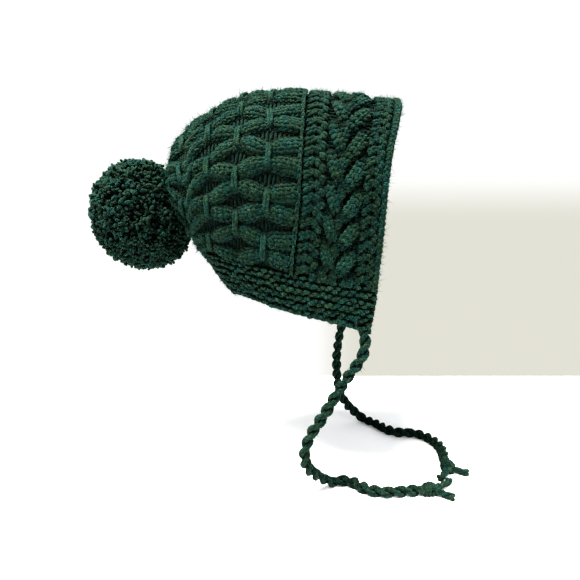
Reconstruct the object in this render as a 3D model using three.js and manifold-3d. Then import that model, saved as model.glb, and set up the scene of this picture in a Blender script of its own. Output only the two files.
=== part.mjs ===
// A hand-knit wool bonnet as it sits on a head: a smocked crown gathered to one point at the back, a cable
// band round the face, a chain of stitches over the join between them, a garter-stitch band round the neck,
// a pompom on the gathered point, and two twisted ties that hang from the front corners and end in a knot
// with loose ends.
//
// Millimetres. +X points to the face, +Y to the wearer's left, +Z up. The origin is the seat: the point
// inside the crown that rests on the top of the head. Everything knitted lies on one head-shaped surface,
// which is built from upright sections counted from the gathered point (0) through the join (6) to the face
// edge (9).

import * as THREE from "three";
import { mergeVertices } from "three/addons/utils/BufferGeometryUtils.js";
import Module from "manifold-3d";

const wasm = await Module();
wasm.setup();

// The head-shaped surface. "Ear level" is the height where the bonnet is widest.
const HALF_WIDTH = 80;
const CROWN_RISE = 86.5; // ear level up to the top of the crown
const SIDE_DROP = 160; // ear level down to where the cheeks would close
const BACK_REACH = 103; // seat back to the gathered point
const FACE_REACH = 70; // seat forward to the face edge, at ear level
const BAND_WIDTH = 64; // join to face edge, at ear level
const PEAK_LEAN = 18; // how far the face edge leans forward at the top
const CHEEK_LEAN = 10; // how far the join swings back at the neck
const FABRIC = 8; // crest of a rib to the inside of the fabric
const ARCH_SQUARE = 2.1; // 2 is an ellipse, more is squarer

// The neck band lies between two planes that slope down to the face.
const NECK_BAND_DROP = 57.4; // ear level down to the neck band's upper edge, above the seat
const NECK_BAND_HEIGHT = 28.5; // below the seat
const NECK_BAND_TILT = 10; // degrees that its upper edge slopes down to the face
const NECK_BAND_FLARE = 3; // degrees more that its lower edge slopes
const NECK_BAND_SETBACK = 6.5; // face edge back to the neck band's front end
const NECK_BAND_SINK = 1.5; // below the crests of the ribs
const NECK_RIDGES = 5;
const RIDGE_DEPTH = 1.4;

// Knitting
const RIBS = 22; // ribs round the crown, from one front corner over the top to the other
const RIB_DEPTH = 4;
const RIB_DRAW = 0.17; // how far a wrap draws its two ribs together, in rib pitches
const RIB_FULL = 0.41; // half-width of a rib between wraps, in rib pitches
const RIB_TIGHT = 0.3; // half-width of a rib under a wrap
const CREST_SHARE = 0.62; // width of a rib's top, as a share of the rib
const WRAP_BITE = 1.9; // how far a wrap presses a rib down
const WRAP_PROUD = 0; // the wraps lie level with the ribs' crests
const WRAP_HALF = 0.105; // half-width of a wrap, in sections
const WRAP_FIRST = 2; // section of the wraps nearest the gathered point
const JOIN = 6;
const FACE = 9;
const JOIN_GAP = 0.7; // between the crown and the band, under the chain
const CHAIN_THICK = 3.2;
const LEDGE = 0.12; // share of the last section that the ribs stop short of the join, under the chain
const SEAT_GAP = 0.3; // between pieces that touch

// Pompom: a ball pressed flat against the slope under the gathered point
const POM_ALONG = 47; // half-length along the slope
const POM_WIDE = 45; // half-width from side to side
const POM_PROUD = 43; // half-thickness off the slope
const POM_OUT = 20.5; // gathered point out to the middle of the ball
const POM_DOWN = 17; // gathered point down to the middle of the ball
const POM_TIP = 24; // degrees that its flat side faces down
const POM_FACETS = 8;
const LOCKS = 90;
const LOCK_LENGTH = 4.5; // how far a lock stands out from the dents round it
const LOCK_SLOPE = 0.55; // share of the way between two locks that slopes

// Ties
const TIE_THICK = 9;
const KNOT_THICK = 11.5;
const KNOT_LONG = 13;
const TAIL_THICK = 6.5;
const TIE_SETBACK = 5; // neck band's front end back to the tie

// One row for each section, from 0 to 9. back is a share of the reach from the join to the gathered point,
// and forward of BAND_WIDTH; mid and top are shares of CROWN_RISE; side of HALF_WIDTH; drop of SIDE_DROP;
// lean of PEAK_LEAN and swing of CHEEK_LEAN. square is the squareness below ear level.
const SECTIONS = [
  { back: 1, forward: 0, mid: 0.023, top: 0, side: 0, drop: 0, lean: 0, swing: 0, square: 2 },
  { back: 0.963, forward: 0, mid: 0.137, top: 0.269, side: 0.36, drop: 0.131, lean: 0, swing: 0, square: 2 },
  { back: 0.817, forward: 0, mid: 0.114, top: 0.537, side: 0.66, drop: 0.281, lean: 0, swing: 0, square: 2 },
  { back: 0.615, forward: 0, mid: 0.057, top: 0.766, side: 0.863, drop: 0.444, lean: 0, swing: 0, square: 2 },
  { back: 0.413, forward: 0, mid: 0.023, top: 0.92, side: 0.963, drop: 0.6, lean: 0.11, swing: 0.2, square: 2.2 },
  { back: 0.206, forward: 0, mid: 0, top: 0.989, side: 1, drop: 0.7, lean: 0.17, swing: 0.7, square: 2.4 },
  { back: 0, forward: 0, mid: 0, top: 0.998, side: 0.994, drop: 0.9, lean: 0.33, swing: 1, square: 2.5 },
  { back: 0, forward: 0.333, mid: 0, top: 0.977, side: 0.975, drop: 0.97, lean: 0.5, swing: 0.9, square: 2.7 },
  { back: 0, forward: 0.667, mid: 0, top: 0.935, side: 0.95, drop: 1, lean: 0.72, swing: 0.8, square: 2.9 },
  { back: 0, forward: 1, mid: 0, top: 0.914, side: 0.919, drop: 1, lean: 1, swing: 0.75, square: 3 },
];

// The cable band's columns, from the join to the face edge, as shares of the band's width. The band is
// knitted in one length from corner to corner; chevrons counts a plait's chevrons, and point is +1 where
// they point to its right-hand end.
const PLAITS = [
  { name: "back plait", from: 0.03, to: 0.27, chevrons: 32, rise: 0.9, strand: 0.5, point: -1 },
  { name: "wide plait", from: 0.29, to: 0.67, chevrons: 16, rise: 1.5, strand: 0.42, point: 1 },
  { name: "face plait", from: 0.69, to: 0.92, chevrons: 32, rise: 0.9, strand: 0.5, point: -1 },
];
const EDGE_STITCH = { from: 0.93, rise: -0.4 };
const BAND_GROOVE = 3.4;
const BAND_ROWS = 96; // three to a small chevron
// Where the band's relief is cut across, as shares of its width: on each plait's edges, crests and middle.
const BAND_CUTS = [
  0, 0.03, 0.09, 0.15, 0.21, 0.28, 0.34, 0.41, 0.48, 0.55, 0.62, 0.68, 0.74, 0.805, 0.87, 0.925, 1,
];

// The ties' routes, from where each leaves the neck band down to its knot. out is away from the middle of
// the head.
const TIE_RIGHT_ROUTE = [
  { x: 0, out: 0, z: 0 },
  { x: 0, out: 0, z: -2 },
  { x: 1, out: 3, z: -9 },
  { x: -2, out: 7.5, z: -19.3 },
  { x: -11, out: 8.5, z: -32.3 },
  { x: -19, out: 9.5, z: -44.3 },
  { x: -26, out: 10.5, z: -56.3 },
  { x: -33.5, out: 11.5, z: -68.3 },
  { x: -40.5, out: 12, z: -79.3 },
  { x: -44.5, out: 12.5, z: -90.3 },
  { x: -44.3, out: 11, z: -101.3 },
  { x: -39.5, out: 6.5, z: -110.8 },
  { x: -32, out: -0.5, z: -119.3 },
  { x: -22.5, out: -7, z: -126.8 },
  { x: -13.5, out: -9.5, z: -126.8 },
  { x: -5.5, out: -6.5, z: -126.8 },
  { x: 3.5, out: 4, z: -126.8 },
  { x: 14.5, out: 9, z: -126.8 },
  { x: 25.5, out: 9, z: -126.8 },
  { x: 36.5, out: 7.5, z: -126.8 },
  { x: 47.5, out: 6, z: -126.8 },
];
const TIE_LEFT_ROUTE = [
  { x: 0, out: 0, z: 0 },
  { x: 0, out: 0, z: -2 },
  { x: 0, out: 4, z: -10.5 },
  { x: -4.5, out: 7.5, z: -25.3 },
  { x: -7.5, out: 8.5, z: -41.3 },
  { x: -9, out: 9.5, z: -56.3 },
  { x: -9, out: 9.5, z: -71.3 },
  { x: -7.5, out: 9.5, z: -86.3 },
  { x: -3.5, out: 11, z: -99.3 },
  { x: 3.5, out: 14.5, z: -111.3 },
  { x: 11.5, out: 18.5, z: -120.3 },
  { x: 20.5, out: 16.5, z: -126.8 },
  { x: 29.5, out: 6, z: -126.8 },
  { x: 39.5, out: -11.5, z: -126.8 },
  { x: 51.5, out: -19.5, z: -126.8 },
  { x: 64.5, out: -21, z: -126.8 },
  { x: 74.5, out: -30, z: -126.8 },
  { x: 80.5, out: -44.5, z: -126.8 },
  { x: 81.5, out: -61, z: -126.8 },
  { x: 79, out: -77.5, z: -126.8 },
  { x: 78.5, out: -86.5, z: -126.8 },
];

// Where each loose end of a knot lies on the ground, from the middle of the knot: ahead along the tie, and
// to the left of it.
const TAILS = {
  right: [
    { ahead: 23, left: 15 },
    { ahead: 15, left: -12 },
  ],
  left: [
    { ahead: 8, left: 15 },
    { ahead: 18, left: -11 },
  ],
};
const TIE_STEPS = 24;
const TIE_SIDES = 8;

const WOOL = 0x1f4a3b;
const EAR_LEVEL = FABRIC - CROWN_RISE; // the seat is FABRIC below the top of the crown
const JOIN_X = FACE_REACH - BAND_WIDTH;
const LEAN_LINE = 0.3; // share of a section's forward lean that grows with height, the rest with its square
const SWING_AT = 90; // mm below ear level where a section has swung back by its full swing

const radians = (degrees) => (degrees * Math.PI) / 180;
const mix = (a, b, share) => a + (b - a) * share;

// Places on the head-shaped surface

function row(index) {
  if (index >= 0) return SECTIONS[Math.min(index, SECTIONS.length - 1)];
  const first = SECTIONS[-index]; // the sections run on evenly through the gathered point
  return { ...first, top: -first.top, side: -first.side, drop: -first.drop };
}

function sectionAt(at) {
  const i = Math.max(0, Math.min(SECTIONS.length - 2, Math.floor(at)));
  const [a, b, c, d] = [row(i - 1), row(i), row(i + 1), row(i + 2)];
  const s = at - i;
  const value = (column) => {
    const [p, q, r, t] = [a[column], b[column], c[column], d[column]];
    return q + 0.5 * s * (r - p + s * (2 * p - 5 * q + 4 * r - t + s * (3 * (q - r) + t - p)));
  };
  return {
    x: JOIN_X - value("back") * (BACK_REACH + JOIN_X) + value("forward") * BAND_WIDTH,
    mid: EAR_LEVEL + value("mid") * CROWN_RISE,
    top: Math.max(value("top") * CROWN_RISE, 0.001),
    side: Math.max(value("side") * HALF_WIDTH, 0.001),
    drop: Math.max(value("drop") * SIDE_DROP, 0.001),
    lean: value("lean") * PEAK_LEAN,
    swing: value("swing") * CHEEK_LEAN,
    square: value("square"),
  };
}

function leanAt(section, z) {
  if (z <= section.mid) return (-section.swing * (section.mid - z)) / SWING_AT;
  const u = (z - section.mid) / section.top;
  return section.lean * (LEAN_LINE * u + (1 - LEAN_LINE) * u * u);
}

// A point of a section, by its angle from the top.
function sectionPoint(section, angle) {
  const over = Math.cos(angle) >= 0;
  const power = 2 / (over ? ARCH_SQUARE : section.square);
  const height = Math.abs(Math.cos(angle)) ** power;
  const z = over ? section.mid + section.top * height : section.mid - section.drop * height;
  const y = section.side * Math.abs(Math.sin(angle)) ** power;
  return new THREE.Vector3(section.x + leanAt(section, z), y, z);
}

// The height of the neck band's planes: level 0 is its upper edge and 1 its lower edge.
function neckPlane(x, level) {
  const height = NECK_BAND_HEIGHT + x * Math.tan(radians(NECK_BAND_FLARE));
  return EAR_LEVEL - NECK_BAND_DROP - level * height - x * Math.tan(radians(NECK_BAND_TILT));
}

// Each section is measured once, from the top down to the neck band, so that ribs and rows can share its
// length.
const ARC_STEPS = 72;
const measured = new Map();
function arcOf(at) {
  const key = at.toFixed(5);
  if (measured.has(key)) return measured.get(key);
  const section = sectionAt(at);
  const above = (angle) => {
    const p = sectionPoint(section, angle);
    return p.z - neckPlane(p.x, 0);
  };
  let [low, high] = [Math.PI / 2, Math.PI];
  if (above(Math.PI) < 0) {
    for (let i = 0; i < 40; i++) {
      const middle = (low + high) / 2;
      if (above(middle) > 0) low = middle;
      else high = middle;
    }
  }
  const points = [];
  const lengths = [0];
  for (let i = 0; i <= ARC_STEPS; i++) {
    points.push(sectionPoint(section, (high * i) / ARC_STEPS));
    if (i) lengths.push(lengths[i - 1] + points[i].distanceTo(points[i - 1]));
  }
  const arc = { section, end: high, lengths, closed: above(Math.PI) >= 0 };
  measured.set(key, arc);
  return arc;
}

// A point of the surface: round is -1 at the right-hand neck edge, 0 over the top and 1 at the left-hand
// one.
function surfacePoint(at, round) {
  const arc = arcOf(at);
  const wanted = Math.min(1, Math.abs(round)) * arc.lengths[ARC_STEPS];
  let i = 1;
  while (i < ARC_STEPS && arc.lengths[i] < wanted) i++;
  const part = (wanted - arc.lengths[i - 1]) / (arc.lengths[i] - arc.lengths[i - 1] || 1);
  const point = sectionPoint(arc.section, (arc.end * (i - 1 + part)) / ARC_STEPS);
  if (Math.abs(round) >= 1 && arc.closed) point.y = 0;
  if (round < 0) point.y = -point.y;
  return point;
}

const SMALL = 0.01;
function normalOf(pointAt, u, v, uRange, vRange) {
  const [u0, u1] = [Math.max(uRange[0], u - SMALL), Math.min(uRange[1], u + SMALL)];
  const [v0, v1] = [Math.max(vRange[0], v - SMALL), Math.min(vRange[1], v + SMALL)];
  const along = pointAt(u1, v).sub(pointAt(u0, v));
  const across = pointAt(u, v1).sub(pointAt(u, v0));
  return along.cross(across).normalize();
}

// The surface raised along its normal.
function raised(at, round, height) {
  const point = surfacePoint(at, round);
  const normal = normalOf(surfacePoint, Math.max(at, 0.05), round, [0.02, FACE], [-1, 1]);
  if (Math.abs(round) >= 1 && arcOf(at).closed) {
    normal.y = 0;
    normal.normalize();
  }
  return point.addScaledVector(normal, height);
}

// Meshes

// Two triangles for each cell of a grid of points, which leaves out those with no area.
function addGrid(triangles, rows, flip) {
  const same = (a, b) => a.distanceToSquared(b) < 1e-8;
  const add = (a, b, c) => {
    if (same(a, b) || same(b, c) || same(c, a)) return;
    triangles.push(flip ? [a, c, b] : [a, b, c]);
  };
  for (let i = 0; i + 1 < rows.length; i++) {
    for (let j = 0; j + 1 < rows[i].length; j++) {
      add(rows[i][j], rows[i][j + 1], rows[i + 1][j + 1]);
      add(rows[i][j], rows[i + 1][j + 1], rows[i + 1][j]);
    }
  }
}

// Joins the rims of two skins. Each rim is a list of points with their places along it, from 0 up.
function addRim(triangles, outer, inner, flip) {
  let [i, j] = [0, 0];
  while (i + 1 < outer.length || j + 1 < inner.length) {
    const outerNext = i + 1 < outer.length ? outer[i + 1].place : Infinity;
    const innerNext = j + 1 < inner.length ? inner[j + 1].place : Infinity;
    const [a, b] = [outer[i].point, inner[j].point];
    const c = outerNext <= innerNext ? outer[++i].point : inner[++j].point;
    triangles.push(flip ? [a, c, b] : [a, b, c]);
  }
}

function meshOf(triangles) {
  const positions = triangles.flat().flatMap((p) => [p.x, p.y, p.z]);
  const geometry = new THREE.BufferGeometry();
  geometry.setAttribute("position", new THREE.Float32BufferAttribute(positions, 3));
  return mergeVertices(geometry, 1e-3);
}

function solidOf(geometry, matrix) {
  const bare = geometry.clone();
  bare.deleteAttribute("normal");
  bare.deleteAttribute("uv");
  if (matrix) bare.applyMatrix4(matrix);
  const merged = mergeVertices(bare, 1e-4);
  const vertProperties = merged.attributes.position.array;
  const triVerts = new Uint32Array(merged.index.array);
  return new wasm.Manifold(new wasm.Mesh({ numProp: 3, vertProperties, triVerts }));
}

function geometryOf(solid) {
  const mesh = solid.getMesh();
  const geometry = new THREE.BufferGeometry();
  geometry.setAttribute("position", new THREE.BufferAttribute(new Float32Array(mesh.vertProperties), 3));
  geometry.setIndex(new THREE.BufferAttribute(new Uint32Array(mesh.triVerts), 1));
  return geometry;
}

const wool = new THREE.MeshStandardMaterial({ color: WOOL, roughness: 0.95, metalness: 0 });
function named(name, geometry) {
  geometry.computeVertexNormals();
  const mesh = new THREE.Mesh(geometry, wool);
  mesh.name = name;
  return mesh;
}

// The rim of a skin that starts at the nape: along one neck edge, round the join or face edge, and back.
function rimOf(rows, places, rounds, first) {
  const last = rows.length - 1;
  const end = rows[last].length - 1;
  const share = (i) => (places[i] - places[first]) / (places[last] - places[first]);
  const rim = [];
  for (let i = first; i <= last; i++) rim.push({ point: rows[i][end], place: share(i) });
  for (let j = end - 1; j >= 0; j--) rim.push({ point: rows[last][j], place: 2 - (rounds[j] + 1) / 2 });
  for (let i = last - 1; i >= first; i--) rim.push({ point: rows[i][0], place: 3 - share(i) });
  return rim;
}

// Crown

// Where the crown's two neck edges meet under the gathered point.
function napeStation() {
  let [low, high] = [1, 5];
  for (let i = 0; i < 40; i++) {
    const middle = (low + high) / 2;
    if (arcOf(middle).closed) low = middle;
    else high = middle;
  }
  return low;
}

// A wrap draws ribs together in pairs, and the pairs change over from one round of wraps to the next.
function ribCentre(rib, at) {
  const past = at - JOIN + 1; // past the last round of wraps
  const swing = Math.cos(past > 0 ? (Math.PI / 2) * past : Math.PI * past);
  return rib + 0.5 + (rib % 2 ? -1 : 1) * RIB_DRAW * swing;
}

function ribFullness(at) {
  return at > JOIN - 0.5 ? 1 : 0.5 - 0.5 * Math.cos(2 * Math.PI * at);
}

// Whether a place lies under a wrap, and whether that wrap holds a rib to the one after it.
function wrapAt(at) {
  const nearest = Math.round(at);
  const under = nearest >= WRAP_FIRST && nearest < JOIN && Math.abs(at - nearest) <= WRAP_HALF * 1.01;
  return { under, holdsNext: (rib) => (rib + nearest - JOIN + 1) % 2 === 0 };
}

// One row of the crown's outside: the groove before each rib and the rib's two crests, and the neck edges.
function crownRow(at) {
  const full = ribFullness(at);
  const half = mix(RIB_TIGHT, RIB_FULL, full);
  const wrap = wrapAt(at);
  const crest = wrap.under ? WRAP_PROUD : -WRAP_BITE * (1 - full);
  const ledge = at > JOIN - LEDGE * 1.2;
  const places = [];
  for (let rib = 0; rib < RIBS; rib++) {
    const centre = ribCentre(rib, at);
    const before = rib ? (centre + ribCentre(rib - 1, at)) / 2 : 0;
    const bridged = wrap.under && rib > 0 && wrap.holdsNext(rib - 1);
    places.push({ rib: before, height: bridged ? crest : -RIB_DEPTH });
    places.push({ rib: centre - half * CREST_SHARE, height: crest });
    places.push({ rib: centre + half * CREST_SHARE, height: crest });
  }
  places.push({ rib: RIBS, height: -RIB_DEPTH });
  const height = (place) => (ledge ? -RIB_DEPTH : place.height);
  return closedRow(places.map((place) => raised(at, (2 * place.rib) / RIBS - 1, height(place))), at);
}

// Behind the nape a row runs all the way round, so it ends where it starts.
function closedRow(points, at) {
  if (arcOf(at).closed) points[points.length - 1] = points[0].clone();
  return points;
}

function neckTrim(points, level, gap) {
  for (const point of points) point.z = neckPlane(point.x, level) + gap;
}

function crown() {
  const nape = napeStation();
  const join = JOIN - JOIN_GAP / 2 / (BAND_WIDTH / 3);
  const gathered = raised(0, 0, -RIB_DEPTH / 2);
  const outerAt = [0.7, 1.2, nape, JOIN - LEDGE * 1.4, JOIN - LEDGE, join];
  for (let wrap = WRAP_FIRST; wrap < JOIN; wrap++) {
    const beside = WRAP_HALF * 1.4;
    outerAt.push(wrap - 0.5, wrap - beside, wrap - WRAP_HALF, wrap + WRAP_HALF, wrap + beside);
  }
  outerAt.push(JOIN - 0.5);
  outerAt.sort((a, b) => a - b);
  const outerRows = outerAt.map(crownRow);
  const outerRounds = [];
  for (let j = 0; j < outerRows[0].length; j++) outerRounds.push((2 * j) / (outerRows[0].length - 1) - 1);

  const innerAt = [1, 2, nape, 3.2, 4.1, 5, join];
  const innerRounds = [];
  for (let j = 0; j <= RIBS; j++) innerRounds.push((2 * j) / RIBS - 1);
  const innerRow = (at) => closedRow(innerRounds.map((round) => raised(at, round, -FABRIC)), at);
  const innerRows = innerAt.map(innerRow);
  const innerGathered = raised(0, 0, -FABRIC);

  for (const [places, rows] of [[outerAt, outerRows], [innerAt, innerRows]]) {
    places.forEach((at, i) => {
      if (at >= nape) neckTrim([rows[i][0], rows[i].at(-1)], 0, SEAT_GAP / 2);
    });
  }
  const triangles = [];
  addGrid(triangles, [outerRows[0].map(() => gathered), ...outerRows], true);
  addGrid(triangles, [innerRows[0].map(() => innerGathered), ...innerRows], false);
  const outerRim = rimOf(outerRows, outerAt, outerRounds, outerAt.indexOf(nape));
  const innerRim = rimOf(innerRows, innerAt, innerRounds, innerAt.indexOf(nape));
  addRim(triangles, outerRim, innerRim, true);
  return meshOf(triangles);
}

// Cable band

// The height of a plait over its groove: three strands that cross each other in turn.
function plaitHeight(plait, across, round) {
  const middle = (plait.from + plait.to) / 2;
  const half = (plait.to - plait.from) / 2;
  const q = (across - middle) / half;
  if (Math.abs(q) >= 1) return 0;
  let height = 0;
  for (let strand = 0; strand < 3; strand++) {
    const phase = Math.PI * ((plait.chevrons * (round + 1)) / 3 + (2 * strand) / 3);
    const off = (q - (1 - plait.strand) * Math.sin(phase)) / plait.strand;
    if (Math.abs(off) >= 1) continue;
    const body = Math.sqrt(1 - off * off);
    height = Math.max(height, body * (BAND_GROOVE + plait.rise * plait.point * Math.sin(2 * phase)));
  }
  return height;
}

function bandHeight(across, round) {
  const plait = PLAITS.find((p) => across > p.from && across < p.to);
  if (plait) return plaitHeight(plait, across, round) - BAND_GROOVE;
  if (across > EDGE_STITCH.from) return EDGE_STITCH.rise;
  return -BAND_GROOVE;
}

function cableBand() {
  const start = JOIN + JOIN_GAP / 2 / (BAND_WIDTH / 3);
  const rounds = Array.from({ length: BAND_ROWS + 1 }, (_, j) => (2 * j) / BAND_ROWS - 1);
  const outerAt = BAND_CUTS.map((across) => mix(start, FACE, across));
  const outerRow = (at, i) => rounds.map((round) => raised(at, round, bandHeight(BAND_CUTS[i], round)));
  const outerRows = outerAt.map(outerRow);
  const innerAt = [start, 7, 8, FACE];
  const innerRounds = Array.from({ length: RIBS + 1 }, (_, j) => (2 * j) / RIBS - 1);
  const innerRows = innerAt.map((at) => innerRounds.map((round) => raised(at, round, -FABRIC)));
  for (const row of [...outerRows, ...innerRows]) neckTrim([row[0], row.at(-1)], 0, SEAT_GAP / 2);

  const triangles = [];
  addGrid(triangles, outerRows, true);
  addGrid(triangles, innerRows, false);
  const loop = (rows, places, turns) => {
    const whole = rimOf(rows, places, turns, 0);
    const across = rows[0].slice(1).map((point, j) => ({ point, place: 3 + (turns[j + 1] + 1) / 2 }));
    return [...whole, ...across];
  };
  addRim(triangles, loop(outerRows, outerAt, rounds), loop(innerRows, innerAt, innerRounds), true);
  return meshOf(triangles);
}

// The chain of stitches that lies over the join.
function joinChain() {
  const steps = RIBS * 2;
  const lift = -BAND_GROOVE + CHAIN_THICK / 2 + SEAT_GAP;
  const points = [];
  for (let i = 0; i <= steps; i++) points.push(raised(JOIN, ((2 * i) / steps - 1) * 0.985, lift));
  return cordAlong(points, CHAIN_THICK, steps, 5);
}

// Neck band

// Half the surface's width at a place beside the seat, or 0 past the back of the head.
const STATIONS = Array.from({ length: FACE * 40 + 1 }, (_, i) => sectionAt(i / 40));
function halfWidthAt(x, z) {
  const place = (section) => section.x + leanAt(section, z);
  let [low, high] = [0, STATIONS.length - 1];
  while (high - low > 1) {
    const middle = Math.floor((low + high) / 2);
    if (place(STATIONS[middle]) < x) low = middle;
    else high = middle;
  }
  const [a, b] = [STATIONS[low], STATIONS[high]];
  const share = Math.max(0, Math.min(1, (x - place(a)) / (place(b) - place(a))));
  const section = {};
  for (const column in a) section[column] = mix(a[column], b[column], share);
  const u = Math.abs(z - section.mid) / (z > section.mid ? section.top : section.drop);
  const square = z > section.mid ? ARCH_SQUARE : section.square;
  return u >= 1 ? 0 : section.side * (1 - u ** square) ** (1 / square);
}

// A point of the neck at an angle about the seat's upright: half a turn is the nape.
function neckPoint(angle, level) {
  let [near, far] = [0, BACK_REACH + HALF_WIDTH];
  const [cos, sin] = [Math.cos(angle), Math.max(Math.sin(angle), 1e-4)];
  for (let i = 0; i < 26; i++) {
    const middle = (near + far) / 2;
    const x = middle * cos;
    if (middle * sin < halfWidthAt(x, neckPlane(x, level))) near = middle;
    else far = middle;
  }
  const x = near * cos;
  return new THREE.Vector3(x, near * Math.sin(angle), neckPlane(x, level));
}

// The neck band is measured once along its middle, from the nape to its front end.
const NECK_STEPS = 90;
function neckAngles() {
  const frontX = FACE_REACH - NECK_BAND_SETBACK;
  let [low, high] = [radians(20), radians(90)];
  for (let i = 0; i < 30; i++) {
    const middle = (low + high) / 2;
    if (neckPoint(middle, 0.5).x > frontX) low = middle;
    else high = middle;
  }
  const angles = Array.from({ length: NECK_STEPS + 1 }, (_, i) => mix(Math.PI, low, i / NECK_STEPS));
  const lengths = [0];
  for (let i = 1; i <= NECK_STEPS; i++) {
    lengths.push(lengths[i - 1] + neckPoint(angles[i], 0.5).distanceTo(neckPoint(angles[i - 1], 0.5)));
  }
  return { angles, lengths };
}
const neck = neckAngles();

// round is -1 at the right-hand front end, 0 at the nape and 1 at the left-hand front end.
function neckSurface(round, level) {
  const wanted = Math.abs(round) * neck.lengths[NECK_STEPS];
  let i = 1;
  while (i < NECK_STEPS && neck.lengths[i] < wanted) i++;
  const part = (wanted - neck.lengths[i - 1]) / (neck.lengths[i] - neck.lengths[i - 1]);
  const point = neckPoint(mix(neck.angles[i - 1], neck.angles[i], part), level);
  if (round === 0) point.y = 0;
  if (round < 0) point.y = -point.y;
  return point;
}

function neckRaised(round, level, height) {
  const normal = normalOf(neckSurface, round, level, [-1, 1], [0, 1]);
  if (round === 0) normal.setY(0).normalize();
  const point = neckSurface(round, level).addScaledVector(normal, height);
  return point;
}

function neckBand() {
  const cells = 44;
  const rounds = Array.from({ length: cells + 1 }, (_, j) => (2 * j) / cells - 1);
  const outerLevels = Array.from({ length: 2 * NECK_RIDGES + 1 }, (_, i) => i / (2 * NECK_RIDGES));
  const ridge = (i) => -NECK_BAND_SINK - (i % 2 ? 0 : RIDGE_DEPTH);
  const outerRows = outerLevels.map((level, i) => rounds.map((round) => neckRaised(round, level, ridge(i))));
  const innerRounds = rounds.filter((_, j) => j % 2 === 0);
  const innerRows = [0, 1].map((level) => innerRounds.map((round) => neckRaised(round, level, -FABRIC)));
  for (const rows of [outerRows, innerRows]) {
    neckTrim(rows[0], 0, -SEAT_GAP / 2);
    neckTrim(rows.at(-1), 1, 0);
  }
  const triangles = [];
  addGrid(triangles, outerRows, false);
  addGrid(triangles, innerRows, true);
  const loop = (rows, levels, turns) => {
    const whole = rimOf(rows, levels, turns, 0);
    const across = rows[0].slice(1).map((point, j) => ({ point, place: 3 + (turns[j + 1] + 1) / 2 }));
    return [...whole, ...across];
  };
  addRim(triangles, loop(outerRows, outerLevels, rounds), loop(innerRows, [0, 1], innerRounds), false);
  return meshOf(triangles);
}

// Pompom

function pomFrame() {
  const gathered = surfacePoint(0, 0);
  const middle = new THREE.Vector3(gathered.x - POM_OUT, 0, gathered.z - POM_DOWN);
  const turn = new THREE.Matrix4().makeRotationY(radians(-POM_TIP)); // -X then faces out and down
  return new THREE.Matrix4().makeTranslation(middle).multiply(turn);
}

// The crown as a plain blank, a small gap larger than its crests, to seat the pompom on.
function crownBlank() {
  const turns = 48;
  const rows = [0.3, 0.6, 1, 1.5, 2, 2.5, 3, 3.5, 4].map((at) =>
    Array.from({ length: turns + 1 }, (_, j) => {
      const angle = (2 * Math.PI * (j % turns)) / turns;
      const section = sectionAt(at);
      const point = sectionPoint(section, Math.min(angle, 2 * Math.PI - angle));
      if (angle > Math.PI) point.y = -point.y;
      const back = at < 2 ? -1 : -0.35;
      const out = new THREE.Vector3(back, point.y / section.side, (point.z - section.mid) / section.top);
      return point.addScaledVector(out.normalize(), SEAT_GAP);
    }),
  );
  const back = surfacePoint(0, 0);
  back.x -= SEAT_GAP;
  const front = new THREE.Vector3(rows.at(-1)[0].x, 0, sectionAt(4).mid);
  const triangles = [];
  addGrid(triangles, [rows[0].map(() => back), ...rows, rows[0].map(() => front)], true);
  return solidOf(meshOf(triangles));
}

// The locks stand evenly round the ball, and the height of its skin falls off from each to the next.
function lockWays() {
  const goldenTurn = Math.PI * (3 - Math.sqrt(5));
  return Array.from({ length: LOCKS }, (_, i) => {
    const up = 1 - (2 * i + 1) / LOCKS;
    const flat = Math.sqrt(1 - up * up);
    return new THREE.Vector3(flat * Math.cos(i * goldenTurn), flat * Math.sin(i * goldenTurn), up);
  });
}

function pompom() {
  const locks = lockWays();
  const spacing = Math.sqrt((4 * Math.PI) / LOCKS);
  const ball = new THREE.IcosahedronGeometry(1, POM_FACETS);
  const skin = ball.attributes.position;
  for (let i = 0; i < skin.count; i++) {
    const way = new THREE.Vector3().fromBufferAttribute(skin, i).normalize();
    const away = locks.map((lock) => way.angleTo(lock)).sort((a, b) => a - b);
    const high = Math.min(1, (away[1] - away[0]) / (spacing * LOCK_SLOPE));
    const half = new THREE.Vector3(POM_PROUD, POM_WIDE, POM_ALONG).subScalar((1 - high) * LOCK_LENGTH);
    skin.setXYZ(i, ...way.multiply(half));
  }
  return geometryOf(solidOf(ball, pomFrame()).subtract(crownBlank()));
}

// Ties and knots

// A round cord along a list of points, with flat ends square to it.
function cordAlong(points, thick, steps, sides) {
  const route = new THREE.CatmullRomCurve3(points, false, "centripetal");
  const outline = new THREE.Shape();
  for (let i = 0; i < sides; i++) {
    const angle = (2 * Math.PI * (i + 0.5)) / sides;
    const corner = [(thick / 2) * Math.cos(angle), (thick / 2) * Math.sin(angle)];
    if (i) outline.lineTo(...corner);
    else outline.moveTo(...corner);
  }
  return new THREE.ExtrudeGeometry(outline, { steps, extrudePath: route, curveSegments: 1 });
}

// Where a tie leaves the neck band: under its lower edge, near the front corner.
function tieExit(side) {
  const frontShare = 1 - TIE_SETBACK / neck.lengths[NECK_STEPS];
  const middle = -(NECK_BAND_SINK + FABRIC) / 2;
  const point = neckRaised(side * frontShare, 1, middle);
  const slope = Math.tan(radians(NECK_BAND_TILT + NECK_BAND_FLARE));
  point.z = neckPlane(point.x, 1) - SEAT_GAP - (TIE_THICK / 2) * slope;
  return point;
}

function tiePoints(side, route) {
  const exit = tieExit(side);
  return route.map(({ x, out, z }) => new THREE.Vector3(exit.x + x, exit.y + side * out, exit.z + z));
}

function tie(side, route) {
  return cordAlong(tiePoints(side, route), TIE_THICK, TIE_STEPS, TIE_SIDES);
}

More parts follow.
